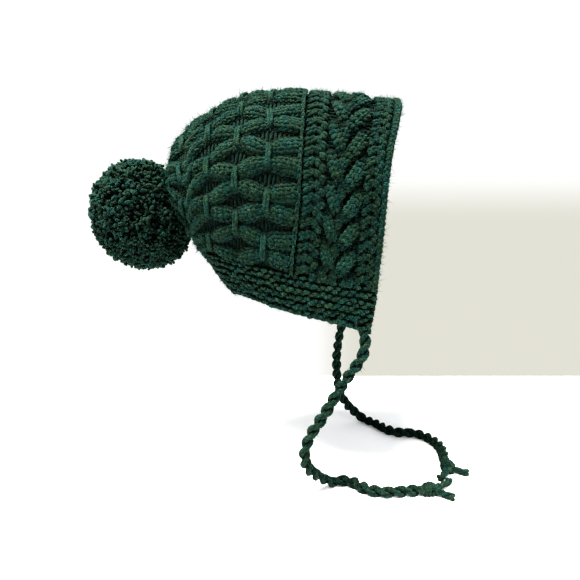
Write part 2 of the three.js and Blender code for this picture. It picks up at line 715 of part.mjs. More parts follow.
// The knot at a tie's end, with the two strands of the tie loose past it.
function knot(side, route, tails) {
  const points = tiePoints(side, route);
  const end = points.at(-1);
  const way = end.clone().sub(points.at(-2)).normalize();
  const middle = end.clone().addScaledVector(way, KNOT_LONG / 2 + SEAT_GAP);
  middle.z += (KNOT_THICK - TIE_THICK) / 2;
  const turn = new THREE.Quaternion().setFromUnitVectors(new THREE.Vector3(1, 0, 0), way);
  const size = new THREE.Vector3(KNOT_LONG / 2, KNOT_THICK / 2, KNOT_THICK / 2);
  const ball = new THREE.SphereGeometry(1, 8, 6);
  const parts = [solidOf(ball, new THREE.Matrix4().compose(middle, turn, size))];
  const leftward = new THREE.Vector3(-way.y, way.x, 0);
  const ground = middle.z - KNOT_THICK / 2 + TAIL_THICK / 2;
  for (const { ahead, left } of tails) {
    const step = (share, spread, z) => {
      const point = middle.clone().addScaledVector(way, ahead * share);
      return point.addScaledVector(leftward, left * spread).setZ(z);
    };
    const tail = [
      step(0, 0.1, middle.z),
      step(0.35, 0.28, mix(middle.z, ground, 0.6)),
      step(0.7, 0.62, ground),
      step(1, 1, ground),
    ];
    parts.push(solidOf(cordAlong(tail, TAIL_THICK, 5, 6)));
  }
  return geometryOf(wasm.Manifold.union(parts));
}

const bonnet = new THREE.Group();
bonnet.name = "knit_bonnet";
bonnet.add(named("crown", crown()));
bonnet.add(named("cable_band", cableBand()));
bonnet.add(named("join_chain", joinChain()));
bonnet.add(named("neck_band", neckBand()));
bonnet.add(named("pompom", pompom()));
const ties = [
  { name: "right", side: -1, route: TIE_RIGHT_ROUTE },
  { name: "left", side: 1, route: TIE_LEFT_ROUTE },
];
for (const { name, side, route } of ties) {
  bonnet.add(named("tie_" + name, tie(side, route)));
  bonnet.add(named("tie_knot_" + name, knot(side, route, TAILS[name])));
}

export default bonnet;
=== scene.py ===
"""Yarn-level looks for the knit bonnet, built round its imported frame.

Everything knitted lies on the head-shaped surface of the CAD part, restated here in millimetres. A stitch
is one or more short bent yarns. All yarns of a piece are made in one go, as arrays of centrelines with a
radius at each point.
"""

import math

import bpy
import numpy as np
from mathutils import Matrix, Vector

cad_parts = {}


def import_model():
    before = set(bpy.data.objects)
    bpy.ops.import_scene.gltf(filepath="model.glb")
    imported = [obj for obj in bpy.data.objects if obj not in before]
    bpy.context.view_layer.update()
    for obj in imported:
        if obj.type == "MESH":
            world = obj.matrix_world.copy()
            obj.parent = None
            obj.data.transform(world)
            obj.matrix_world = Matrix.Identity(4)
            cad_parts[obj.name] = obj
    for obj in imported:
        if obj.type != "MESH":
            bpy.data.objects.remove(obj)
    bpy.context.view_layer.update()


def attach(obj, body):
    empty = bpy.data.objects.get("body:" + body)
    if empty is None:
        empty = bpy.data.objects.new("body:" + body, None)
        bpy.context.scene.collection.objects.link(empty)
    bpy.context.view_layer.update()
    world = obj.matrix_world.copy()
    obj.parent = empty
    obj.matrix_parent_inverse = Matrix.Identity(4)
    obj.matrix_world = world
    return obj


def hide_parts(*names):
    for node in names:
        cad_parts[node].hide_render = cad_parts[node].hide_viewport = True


RNG = np.random.default_rng(7)
MM = 0.001
UP = np.array([0.0, 0.0, 1.0])
MIRROR = np.array([1, -1, 1])

# The head-shaped surface: the CAD part's sizes and sections.
HALF_WIDTH = 80
CROWN_RISE = 86.5
SIDE_DROP = 160
BACK_REACH = 103
FACE_REACH = 70
BAND_WIDTH = 64
PEAK_LEAN = 18
CHEEK_LEAN = 10
FABRIC = 8
ARCH_SQUARE = 2.1
LEAN_LINE = 0.3
SWING_AT = 90
NECK_DROP = 57.4
NECK_HEIGHT = 28.5
NECK_TILT = math.tan(math.radians(10))
NECK_FLARE = math.tan(math.radians(3))
NECK_SETBACK = 6.5
CORNER_DROOP = 3.5
RIBS = 22
JOIN = 6
FACE = 9
EAR_LEVEL = FABRIC - CROWN_RISE
JOIN_X = FACE_REACH - BAND_WIDTH
INSIDE = -FABRIC + 0.8
SHELL_WAVE = 0.5
STITCH_WAVE = 0.55

# Columns: at, back, forward, mid, top, side, drop, lean, swing, square.
SECTIONS = np.array(
    [
        [0, 1.0, 0, 0.023, 0, 0, 0, 0, 0, 2.0],
        [1, 0.963, 0, 0.137, 0.269, 0.36, 0.131, 0, 0, 2.0],
        [2, 0.817, 0, 0.114, 0.537, 0.66, 0.281, 0, 0, 2.0],
        [3, 0.615, 0, 0.057, 0.766, 0.863, 0.444, 0, 0, 2.0],
        [4, 0.413, 0, 0.023, 0.92, 0.963, 0.6, 0.11, 0.2, 2.2],
        [5, 0.206, 0, 0, 0.989, 1.0, 0.7, 0.17, 0.7, 2.4],
        [6, 0, 0, 0, 0.998, 0.994, 0.9, 0.33, 1.0, 2.5],
        [7, 0, 0.333, 0, 0.977, 0.975, 0.97, 0.5, 0.9, 2.7],
        [8, 0, 0.667, 0, 0.935, 0.95, 1.0, 0.72, 0.8, 2.9],
        [9, 0, 1.0, 0, 0.914, 0.919, 1.0, 1.0, 0.75, 3.0],
    ]
)


def sections(at):
    """The section values at each place of at, as a dict of arrays."""
    before = SECTIONS[1] * np.array([-1, 1, 1, 1, -1, -1, -1, 1, 1, 1])
    rows = np.vstack([before, SECTIONS, SECTIONS[-1:]])
    i = np.clip(np.floor(at).astype(int), 0, len(SECTIONS) - 2)
    s = (at - i)[..., None]
    p, q, r, t = rows[i], rows[i + 1], rows[i + 2], rows[np.minimum(i + 3, len(rows) - 1)]
    v = q + 0.5 * s * (r - p + s * (2 * p - 5 * q + 4 * r - t + s * (3 * (q - r) + t - p)))
    return {
        "x": JOIN_X - v[..., 1] * (BACK_REACH + JOIN_X) + v[..., 2] * BAND_WIDTH,
        "mid": EAR_LEVEL + v[..., 3] * CROWN_RISE,
        "top": np.maximum(v[..., 4] * CROWN_RISE, 1e-3),
        "side": np.maximum(v[..., 5] * HALF_WIDTH, 1e-3),
        "drop": np.maximum(v[..., 6] * SIDE_DROP, 1e-3),
        "lean": v[..., 7] * PEAK_LEAN,
        "swing": v[..., 8] * CHEEK_LEAN,
        "square": v[..., 9],
    }


def unit(vectors):
    return vectors / np.maximum(np.linalg.norm(vectors, axis=-1, keepdims=True), 1e-9)


def run_along(line, wider=1.0):
    """How far along a line each of its points lies, in mm; wider counts a stretch as shorter."""
    return np.concatenate([[0], np.cumsum(np.linalg.norm(np.diff(line, axis=0), axis=1) / wider)])


def both_sides(left):
    """A grid of the left side, joined to its mirror image at its first column."""
    return np.concatenate([left[:, :0:-1] * MIRROR, left], 1)


def lean_at(s, z):
    u = (z - s["mid"]) / s["top"]
    over = s["lean"] * (LEAN_LINE * u + (1 - LEAN_LINE) * u * u)
    return np.where(z <= s["mid"], -s["swing"] * (s["mid"] - z) / SWING_AT, over)


def section_point(s, angle):
    over = np.cos(angle) >= 0
    power = 2 / np.where(over, ARCH_SQUARE, s["square"])
    height = np.abs(np.cos(angle)) ** power
    z = np.where(over, s["mid"] + s["top"] * height, s["mid"] - s["drop"] * height)
    y = s["side"] * np.abs(np.sin(angle)) ** power
    return np.stack([s["x"] + lean_at(s, z), y, z], -1)


def neck_plane(x, level):
    return EAR_LEVEL - NECK_DROP - level * (NECK_HEIGHT + x * NECK_FLARE) - x * NECK_TILT


def unevenness(points, size, seed):
    """A soft, smooth offset in mm for each point, with waves of a few cm."""
    waves = np.random.default_rng(seed)
    total = np.zeros(points.shape[:-1])
    for length in (70, 45, 28, 19):
        way = waves.normal(0, 1, 3)
        way *= 2 * np.pi / length / np.linalg.norm(way)
        total += np.sin(points @ way + waves.uniform(0, 6)) * length / 70
    return size * total / 1.5


class Sheet:
    """A grid of points over two parameters, read between its points, with its normals."""

    def __init__(self, u, v, points, flip=1):
        self.u, self.v = u, v
        across = np.gradient(points, v, axis=1)
        along = np.gradient(points, u, axis=0)
        self.normals = unit(np.cross(along, across) * flip)
        self.points = points + self.normals * unevenness(points, SHELL_WAVE, 3)[..., None]

    def read(self, grid, u, v):
        fu = np.clip((u - self.u[0]) / (self.u[1] - self.u[0]), 0, len(self.u) - 1.001)
        fv = np.clip((v - self.v[0]) / (self.v[1] - self.v[0]), 0, len(self.v) - 1.001)
        i, j = fu.astype(int), fv.astype(int)
        a, b = (fu - i)[..., None], (fv - j)[..., None]
        low = grid[i, j] * (1 - b) + grid[i, j + 1] * b
        high = grid[i + 1, j] * (1 - b) + grid[i + 1, j + 1] * b
        return low * (1 - a) + high * a

    def at(self, u, v, height=0.0):
        """Points raised along the normal, and the normals."""
        u, v = np.broadcast_arrays(np.asarray(u, float), np.asarray(v, float))
        normal = unit(self.read(self.normals, u, v))
        return self.read(self.points, u, v) + normal * np.asarray(height)[..., None], normal


def head_sheet():
    """u is the section from the gathered point (0) to the face edge (9); v is -1 at the right-hand neck edge,
    0 over the top and 1 at the left-hand one, even in length."""
    at = np.linspace(0, FACE, 181)
    half = np.linspace(0, 1, 121)
    rows = []
    angle = np.linspace(0, math.pi, 721)
    for place in at:
        s = {k: float(w) for k, w in sections(np.array(place)).items()}
        line = section_point(s, angle)
        above = line[:, 2] >= neck_plane(line[:, 0], 0)
        last = len(angle) - 1 if above.all() else int(np.argmin(above))
        line = line[: last + 1]
        run = run_along(line)
        rows.append(np.stack([np.interp(half * run[-1], run, line[:, k]) for k in range(3)], -1))
    return Sheet(at, np.linspace(-1, 1, 241), both_sides(np.array(rows)))


def neck_sheet():
    """u is 0 at the neck band's upper edge and 1 at its lower one; v is -1 at the right-hand front end, 0 at
    the nape and 1 at the left-hand front end. Returns half its length too."""
    s = sections(np.linspace(0, FACE, 361))
    wide = {k: w[:, None] for k, w in s.items()}

    def half_width(x, z):
        place = wide["x"] + lean_at(wide, z[None])
        k = np.clip((place < x[None]).sum(0), 1, len(place) - 1)
        n = np.arange(len(x))
        share = np.clip((x - place[k - 1, n]) / (place[k, n] - place[k - 1, n]), 0, 1)
        mixed = {key: w[k - 1] + (w[k] - w[k - 1]) * share for key, w in s.items()}
        u = np.abs(z - mixed["mid"]) / np.where(z > mixed["mid"], mixed["top"], mixed["drop"])
        square = np.where(z > mixed["mid"], ARCH_SQUARE, mixed["square"])
        return np.where(u >= 1, 0, mixed["side"] * np.maximum(1 - u**square, 0) ** (1 / square))

    def line(angle, level):
        near, far = np.zeros(len(angle)), np.full(len(angle), 190.0)
        for _ in range(24):
            r = (near + far) / 2
            x = r * np.cos(angle)
            inside = r * np.sin(angle) < half_width(x, neck_plane(x, level))
            near, far = np.where(inside, r, near), np.where(inside, far, r)
        x = near * np.cos(angle)
        return np.stack([x, near * np.sin(angle), neck_plane(x, level)], -1)

    angle = np.linspace(math.pi - 1e-4, math.radians(20), 321)
    middle = line(angle, 0.5)
    last = int(np.argmax(middle[:, 0] > FACE_REACH - NECK_SETBACK))
    angle, middle = angle[: last + 1], middle[: last + 1]
    run = run_along(middle)
    even = np.interp(np.linspace(0, 1, 101) * run[-1], run, angle)
    levels = np.linspace(0, 1, 9)
    left = np.array([line(even, level) for level in levels])
    left[:, 0, 1] = 0
    droop = np.clip((np.linspace(0, 1, 101) - 0.78) / 0.22, 0, 1) ** 2
    left[..., 2] -= CORNER_DROOP * droop[None, :] * levels[:, None]
    return Sheet(levels, np.linspace(-1, 1, 201), both_sides(left), -1), run[-1]


def make_mesh(name, verts, faces, uvs=None, tone=None, material=None, depth=None, seam=None):
    """verts in mm. uvs, tone and depth are per vertex; seam marks face corners whose v is one turn more."""
    mesh = bpy.data.meshes.new(name)
    faces = np.asarray(faces, np.int32)
    sides = faces.shape[1]
    mesh.vertices.add(len(verts))
    mesh.vertices.foreach_set("co", (np.asarray(verts) * MM).astype(np.float32).ravel())
    mesh.loops.add(faces.size)
    mesh.loops.foreach_set("vertex_index", faces.ravel())
    mesh.polygons.add(len(faces))
    mesh.polygons.foreach_set("loop_start", np.arange(0, faces.size, sides, dtype=np.int32))
    mesh.polygons.foreach_set("use_smooth", np.full(len(faces), True))
    mesh.update(calc_edges=True)
    if uvs is not None:
        layer = mesh.uv_layers.new(name="yarn")
        corners = np.asarray(uvs, np.float32)[faces.ravel()]
        if seam is not None:
            corners[:, 1] += seam.ravel()
        layer.data.foreach_set("uv", corners.ravel())
    # depth sets how much painted shade a point gets in the wool's colour.
    for label, values in (("tone", tone), ("depth", depth)):
        if values is not None:
            attribute = mesh.attributes.new(label, "FLOAT", "POINT")
            attribute.data.foreach_set("value", np.asarray(values, np.float32))
    obj = bpy.data.objects.new(name, mesh)
    bpy.context.scene.collection.objects.link(obj)
    if material:
        mesh.materials.append(material)
    return obj


class Yarns:
    """Collects yarns of one number of points each, and turns them all into one mesh."""

    def __init__(self, sides=6):
        self.sides = sides
        self.parts = []

    def add(self, path, normal, radius, tone=None, flat=0.85, depth=0.0):
        """path is (yarns, points, 3), normal the same or (yarns, 3), radius and depth (points,) or
        (yarns, points)."""
        path = np.asarray(path, float)
        n, k = path.shape[:2]
        normal = np.asarray(normal, float)
        if normal.ndim == 2:
            normal = np.repeat(normal[:, None], k, 1)
        radius = np.broadcast_to(radius, (n, k))
        depth = np.broadcast_to(depth, (n, k))
        along = unit(np.gradient(path, axis=1))
        side = unit(np.cross(along, normal))
        up = np.cross(side, along)
        turn = 2 * np.pi * np.arange(self.sides) / self.sides
        wide = np.cos(turn)[None, None, :, None] * side[:, :, None]
        high = flat * np.sin(turn)[None, None, :, None] * up[:, :, None]
        ring = path[:, :, None] + radius[:, :, None, None] * (wide + high)
        run = np.cumsum(np.linalg.norm(np.diff(path, axis=1, prepend=path[:, :1]), axis=2), 1)
        run = run + RNG.uniform(0, 30, (n, 1))
        start = path[:, :1] - along[:, :1] * radius[:, :1, None] * 0.5
        end = path[:, -1:] + along[:, -1:] * radius[:, -1:, None] * 0.5
        verts = np.concatenate([ring.reshape(n, -1, 3), start, end], 1)
        uv_ring = np.stack(np.broadcast_arrays(run[:, :, None], (turn / (2 * np.pi))[None, None]), -1)
        uv_ends = np.stack([run[:, [0, -1]], np.zeros((n, 2))], -1)
        uvs = np.concatenate([uv_ring.reshape(n, -1, 2), uv_ends], 1)
        tone = RNG.uniform(0, 1, n) if tone is None else np.broadcast_to(tone, n)
        tones = np.repeat(tone[:, None], verts.shape[1], 1)
        depths = np.concatenate([np.repeat(depth, self.sides, 1), depth[:, :1], depth[:, -1:]], 1)
        self.parts.append((verts, uvs, tones, depths, *self.cells(k)))

    def cells(self, k):
        """The triangles of a yarn with k points, and their corners that lie one turn on."""
        s = self.sides
        faces, seam = [], []
        for i in range(k - 1):
            for j in range(s):
                a, b = i * s + j, i * s + (j + 1) % s
                over = float(j == s - 1)
                faces += [[a, b, b + s], [a, b + s, a + s]]
                seam += [[0, over, over], [0, over, 0]]
        first, last = k * s, k * s + 1
        for j in range(s):
            faces += [[first, (j + 1) % s, j], [last, (k - 1) * s + j, (k - 1) * s + (j + 1) % s]]
            seam += [[0, 0, 0], [0, 0, 0]]
        return np.array(faces), np.array(seam)

    def build(self, name, material):
        columns = [[] for _ in range(6)]
        base = 0
        for verts, uvs, tones, depths, faces, seam in self.parts:
            n, m = verts.shape[:2]
            cells = (faces[None] + (base + np.arange(n) * m)[:, None, None]).reshape(-1, 3)
            flat = verts.reshape(-1, 3), uvs.reshape(-1, 2), tones.ravel(), depths.ravel()
            for values, value in zip(columns, (*flat, cells, np.tile(seam, (n, 1)))):
                values.append(value)
            base += n * m
        verts, uvs, tones, depths, faces, seam = (np.concatenate(values) for values in columns)
        return make_mesh(name, verts, faces, uvs, tones, material, depths, seam)


def sheet_mesh(name, sheet, us, vs, outer, inner, material):
    """A closed wall of fabric between two heights of a sheet, as the backing behind the yarns."""
    u, v = np.meshgrid(us, vs, indexing="ij")
    rows, cols = u.shape
    skins = [sheet.at(u, v, np.full(u.shape, h))[0].reshape(-1, 3) for h in (outer, inner)]
    n = rows * cols
    grid = np.arange(n).reshape(rows, cols)
    a, b, c, d = grid[:-1, :-1], grid[:-1, 1:], grid[1:, 1:], grid[1:, :-1]
    quads = np.stack([a, b, c, d], -1).reshape(-1, 4)
    rim = np.concatenate([grid[0, :-1], grid[:-1, -1], grid[-1, :0:-1], grid[:0:-1, 0]])
    after = np.roll(rim, -1)
    edge = np.stack([rim, after, after + n, rim + n], -1)
    faces = np.concatenate([quads[:, ::-1], quads + n, edge])
    uvs = np.tile(np.stack([u.ravel(), v.ravel()], -1), (2, 1))
    return make_mesh(name, np.concatenate(skins), faces, uvs, None, material)


def set_inputs(node, values):
    for label, value in values.items():
        node.inputs[label].default_value = value


def node_group(name, inputs, outputs):
    group = bpy.data.node_groups.new(name, "ShaderNodeTree")
    for label, kind, value in inputs:
        socket = group.interface.new_socket(label, in_out="INPUT", socket_type=kind)
        socket.default_value = value
    for label, kind in outputs:
        group.interface.new_socket(label, in_out="OUTPUT", socket_type=kind)
    return group, group.nodes.new("NodeGroupInput").outputs, group.nodes.new("NodeGroupOutput").inputs


def math_node(tree, operation, *values):
    """Each value is a number or another node's output."""
    node = tree.nodes.new("ShaderNodeMath")
    node.operation = operation
    for socket, value in zip(node.inputs, values):
        if isinstance(value, (int, float)):
            socket.default_value = value
        else:
            tree.links.new(value, socket)
    return node.outputs[0]


def mask(tree, value, low, high):
    """0 up to low, 1 from high on, and smooth between."""
    node = tree.nodes.new("ShaderNodeMapRange")
    node.interpolation_type = "SMOOTHSTEP"
    set_inputs(node, {"From Min": low, "From Max": high})
    tree.links.new(value, node.inputs["Value"])
    return node.outputs["Result"]


def mix(tree, factor, first, second):
    """A blend of two colours, each a tuple or another node's output."""
    node = tree.nodes.new("ShaderNodeMix")
    node.data_type = "RGBA"
    tree.links.new(factor, node.inputs["Factor"])
    for socket, colour in ((node.inputs["A"], first), (node.inputs["B"], second)):
        if isinstance(colour, tuple):
            socket.default_value = colour
        else:
            tree.links.new(colour, socket)
    return node.outputs["Result"]


def noise(tree, place, scale, detail):
    node = tree.nodes.new("ShaderNodeTexNoise")
    set_inputs(node, {"Scale": scale, "Detail": detail})
    tree.links.new(place, node.inputs["Vector"])
    return node.outputs["Fac"]


def yarn_place(tree):
    """How far along its yarn a point lies, in mm, and how far round it, in turns."""
    uv = tree.nodes.new("ShaderNodeUVMap")
    uv.uv_map = "yarn"
    parts = tree.nodes.new("ShaderNodeSeparateXYZ")
    tree.links.new(uv.outputs["UV"], parts.inputs[0])
    return parts.outputs["X"], parts.outputs["Y"]


def object_place(tree):
    return tree.nodes.new("ShaderNodeTexCoord").outputs["Object"]


YARN_TURNS = 0.22
# The colour of painted shade, which deep places are mixed toward.
SHADOW = (0.0006, 0.0022, 0.0018, 1)


def heather_group():
    """Wool spun from fibres of several greens, which show as streaks wound round the yarn. Deep places get
    painted shade: the deeper a point, the more it is mixed toward SHADOW."""
    inputs = [
        ("Deep", "NodeSocketColor", (0.0046, 0.0175, 0.0140, 1)),
        ("Teal", "NodeSocketColor", (0.0105, 0.052, 0.044, 1)),
        ("Moss", "NodeSocketColor", (0.0175, 0.047, 0.029, 1)),
        ("Fleck", "NodeSocketColor", (0.066, 0.084, 0.046, 1)),
        ("Tone", "NodeSocketFloat", 0.5),
        ("Depth", "NodeSocketFloat", 0.0),
        ("Fleck share", "NodeSocketFloat", 0.5),
        ("Shadow", "NodeSocketFloat", 0.85),
    ]
    group, given, result = node_group("heather", inputs, [("Color", "NodeSocketColor")])
    run, turn = yarn_place(group)
    wound = math_node(group, "MULTIPLY_ADD", run, YARN_TURNS, turn)

    def streaks(along, across, seed):
        place = group.nodes.new("ShaderNodeCombineXYZ")
        for socket, value, scale in zip(place.inputs, (run, wound, given["Tone"]), (along, across, seed)):
            group.links.new(math_node(group, "MULTIPLY", value, scale), socket)
        return noise(group, place.outputs[0], 1.0, 2.0)

    patches = noise(group, object_place(group), 110, 2.0)
    lit = mix(group, mask(group, patches, 0.42, 0.6), given["Teal"], given["Moss"])
    mixed = mix(group, mask(group, streaks(0.8, 5.0, 19.0), 0.36, 0.66), given["Deep"], lit)
    flecks = mask(group, streaks(0.5, 4.0, 41.0), 0.5, 0.68)
    flecks = math_node(group, "MULTIPLY", flecks, given["Fleck share"])
    flecked = mix(group, flecks, mixed, given["Fleck"])
    # Painted shade: darkening by depth, for the shade between and under the yarns.
    dark = math_node(group, "MULTIPLY", mask(group, given["Depth"], 0.0, 1.0), given["Shadow"])
    group.links.new(mix(group, dark, flecked, SHADOW), result["Color"])
    return group


def twist_group():
    """The yarn's plies, wound round it, with loose fibres: a height for the bump."""
    inputs = [
        ("Turns per mm", "NodeSocketFloat", YARN_TURNS),
        ("Plies", "NodeSocketFloat", 3.0),
        ("Fibre", "NodeSocketFloat", 0.5),
    ]
    group, given, result = node_group("twist", inputs, [("Height", "NodeSocketFloat")])
    run, turn = yarn_place(group)
    wound = math_node(group, "ADD", math_node(group, "MULTIPLY", run, given["Turns per mm"]), turn)
    plies = math_node(group, "PINGPONG", math_node(group, "MULTIPLY", wound, given["Plies"]), 0.5)
    fibre = noise(group, object_place(group), 1600, 4)
    group.links.new(math_node(group, "MULTIPLY_ADD", fibre, given["Fibre"], plies), result["Height"])
    return group


def shaded(name):
    """A new material, its node tree and its shader."""
    material = bpy.data.materials.new(name)
    material.use_nodes = True
    return material, material.node_tree, material.node_tree.nodes["Principled BSDF"]


def wool(name, groups, shade=1.0, bump=1.0, fleck=0.42):
    """A wool yarn. shade scales its greens, and fleck is how much of the light fibre shows."""
    material, tree, shader = shaded(name)
    nodes, links = tree.nodes, tree.links
    set_inputs(
        shader,
        {
            "Roughness": 0.9,
            "Specular IOR Level": 0.15,
            "Sheen Weight": 0.12,
            "Sheen Roughness": 0.45,
            "Sheen Tint": (0.5, 0.65, 0.57, 1),
        },
    )
    colour = nodes.new("ShaderNodeGroup")
    colour.node_tree = groups["heather"]
    for key in ("Deep", "Teal", "Moss", "Fleck"):
        socket = colour.inputs[key]
        socket.default_value = [c * shade for c in socket.default_value[:3]] + [1]
    colour.inputs["Fleck share"].default_value = fleck
    for label, key in (("tone", "Tone"), ("depth", "Depth")):
        attribute = nodes.new("ShaderNodeAttribute")
        attribute.attribute_name = label
        links.new(attribute.outputs["Fac"], colour.inputs[key])
    links.new(colour.outputs["Color"], shader.inputs["Base Color"])
    twist = nodes.new("ShaderNodeGroup")
    twist.node_tree = groups["twist"]
    normal = nodes.new("ShaderNodeBump")
    set_inputs(normal, {"Strength": bump, "Distance": 0.0007})
    links.new(twist.outputs["Height"], normal.inputs["Height"])
    links.new(normal.outputs["Normal"], shader.inputs["Normal"])
    return material


# Stitches. A yarn is laid from offsets in mm: t along a direction on the sheet, and s to its left.

LEG = np.linspace(-0.5, 0.5, 5)
LEG_BOW = np.array([0.0, 0.78, 1.0, 0.82, 0.05])
LEG_FORM = np.array([0.52, 1.0, 1.1, 0.98, 0.5])
BAR_BOW = np.array([0.0, 0.75, 1.0, 0.75, 0.0])
BAR_FORM = np.array([0.7, 1.0, 1.05, 1.0, 0.7])


def jitter(shape, size):
    return RNG.normal(0, size, shape)


def metric(sheet, u, v):
    """mm for one unit of u and of v."""
    e = 0.01
    du = np.linalg.norm(sheet.at(u + e, v)[0] - sheet.at(u - e, v)[0], axis=-1) / (2 * e)
    dv = np.linalg.norm(sheet.at(u, v + e)[0] - sheet.at(u, v - e)[0], axis=-1) / (2 * e)
    inner_u = (u > sheet.u[0] + e) & (u < sheet.u[-1] - e)
    inner_v = np.abs(v) < 1 - e
    return np.maximum(np.where(inner_u, du, du * 2), 3), np.maximum(np.where(inner_v, dv, dv * 2), 3)


def shifted(sheet, u, v, across, along):
    """Places across mm square to the sheet's +v lines and along mm on them, also where its lines cross at a
    slant."""
    e = 0.01
    inner = np.clip(v, -0.98, 0.98)
    du, dv = metric(sheet, u, inner)
    to_u = unit(sheet.at(u + e, inner)[0] - sheet.at(u - e, inner)[0])
    to_v = unit(sheet.at(u, inner + e)[0] - sheet.at(u, inner - e)[0])
    cos = (to_u * to_v).sum(-1)
    sin = np.sqrt(1 - cos**2)
    if np.ndim(across) == 2:
        u, v, du, dv, cos, sin = (x[:, None] for x in (u, v, du, dv, cos, sin))
    return u + across / (sin * du), v + (along - across * cos / sin) / dv


def lay(yarns, sheet, u, v, angle, t, s, height, radius, tone=None, flat=0.85, square=False, dark=(0.8, 4.4)):
    """angle is 0 along +u and a quarter turn along +v. t, s, height and radius are (points,) or (yarns,
    points). dark is how deep in mm the shade starts, and how many mm more until it is full."""
    u, v, angle = np.broadcast_arrays(*(np.atleast_1d(np.asarray(x, float)) for x in (u, v, angle)))
    cos, sin = np.cos(angle)[:, None], np.sin(angle)[:, None]
    place = sheet.read(sheet.points, u, v)
    across = t * cos - s * sin + unevenness(place, STITCH_WAVE, 5)[:, None]
    along = t * sin + s * cos + unevenness(place, STITCH_WAVE, 9)[:, None]
    if square:
        uu, vv = shifted(sheet, u, v, across, along)
    else:
        du, dv = (m[:, None] for m in metric(sheet, u, v))
        uu, vv = u[:, None] + across / du, v[:, None] + along / dv
    height = np.broadcast_to(height, uu.shape)
    path, normal = sheet.at(uu, vv, height)
    yarns.add(path, normal, radius, tone, flat, np.clip(-(height + dark[0]) / dark[1], 0, 1))


def column(values):
    return np.atleast_1d(np.asarray(values, float))[:, None]


def lay_legs(yarns, sheet, u, v, angle, lean, length, thick, base, bow, tone=None, **more):
    """Legs of knit stitches: each leans to one side of the knitting and curves back."""
    t = LEG * column(length)
    s = t * column(lean) - np.sign(column(lean)) * (LEG**2 - 0.08) * column(thick) * 0.8
    height = column(base) + LEG_BOW * column(bow)
    radius = LEG_FORM * column(thick) / 2 * (1 + jitter((len(u), 1), 0.05))
    lay(yarns, sheet, u, v, angle, t, s, height, radius, tone, **more)


def lay_bars(yarns, sheet, u, v, angle, length, thick, base, bow=0.8, arch=0.0, **more):
    """Purl bumps: short bars, arched to one side by arch mm."""
    t = LEG * column(length)
    s = BAR_BOW * column(arch)
    height = column(base) + BAR_BOW * bow
    radius = BAR_FORM * column(thick) / 2 * (1 + jitter((len(u), 1), 0.06))
    lay(yarns, sheet, u, v, angle, t, s, height, radius, **more)


# Crown. Places round it are counted in ribs, from the right-hand neck edge.
RIB_DRAW = 0.17
RIB_TIGHT, RIB_FULL = 0.29, 0.5
RIB_SPREAD = 0.84
ROW = 3.8
GROOVE_ROW = 3.1
WRAPS = (2, 3, 4, 5)


def rib_centre(rib, at):
    swing = np.where(at > JOIN - 1, np.cos(np.pi / 2 * (at - JOIN + 1)), np.cos(np.pi * (at - JOIN + 1)))
    return rib + 0.5 + (-1 if rib % 2 else 1) * RIB_DRAW * swing


def fullness(at):
    return np.where(at > JOIN - 0.5, 1.0, np.abs(np.sin(np.pi * at)) ** 0.62)


def half_rib(at):
    return RIB_TIGHT + (RIB_FULL - RIB_TIGHT) * fullness(at)


def to_v(rib_place):
    return 2 * rib_place / RIBS - 1


def rows_on(sheet, place, low, high, step):
    """Places along u, even in mm, on the line v = place(u)."""
    fine = np.linspace(low, high, 300)
    line = sheet.at(fine, place(fine))[0]
    run = run_along(line)
    count = max(2, int(run[-1] / step))
    return np.interp((np.arange(count) + 0.5) / count * run[-1], run, fine)


RIB_LINES = (-0.52, -0.17, 0.17, 0.52)
SIDE_LINES = (-1.12, -0.86, 0.86, 1.12)


def rib_legs(yarns, sheet, rib, lines):
    rows = rows_on(sheet, lambda at: to_v(rib_centre(rib, at)), 0.5, JOIN - 0.07, ROW)
    tone = RNG.uniform(0, 1, len(rows))
    for across in lines:
        u = rows + jitter(len(rows), 0.014)
        place = lambda at: to_v(rib_centre(rib, at) + across * RIB_SPREAD * half_rib(at))
        v = place(u)
        du, dv = metric(sheet, u, v)
        angle = np.arctan((place(u + 0.01) - place(u - 0.01)) / 0.02 * dv / du)
        arm = 1 if across in (RIB_LINES[0], RIB_LINES[2], SIDE_LINES[0], SIDE_LINES[2]) else -1
        full = fullness(u)
        pitch = np.clip(dv * 2 / RIBS / 17.5, 0.45, 1.05)
        thick = 3.1 * (0.74 + 0.26 * full) * pitch
        base = -5.3 + full**1.6 * 3.2 - (0.4 + 3.0 * full) * across**2 + jitter(len(u), 0.2)
        tones = tone + jitter(len(u), 0.3)
        lay_legs(yarns, sheet, u, v, angle, -arm * 0.42, 6.0, thick, base, 1.5, tones, dark=(2.6, 3.2))


def groove_bars(yarns, sheet, rib):
    """The purl ground between a rib and the next, or between the outermost rib and the neck edge."""

    def edges(at):
        half = half_rib(at)
        low = np.zeros_like(half) if rib < 0 else rib_centre(rib, at) + half
        high = np.full_like(half, RIBS) if rib + 1 == RIBS else rib_centre(rib + 1, at) - half
        return low, high

    middle = lambda at: to_v(sum(edges(at)) / 2)
    u = rows_on(sheet, middle, 0.9, JOIN - 0.05, GROOVE_ROW)
    low, high = edges(u)
    dv = metric(sheet, u, middle(u))[1]
    width = (high - low) * 2 / RIBS * dv
    keep = width > 1.2
    u, width = u[keep], width[keep]
    angle = np.pi / 2 + jitter(len(u), 0.1)
    lay_bars(yarns, sheet, u, middle(u), angle, width + 3.2, 2.2, -5.7, 0.6, dark=(3.0, 5.0))


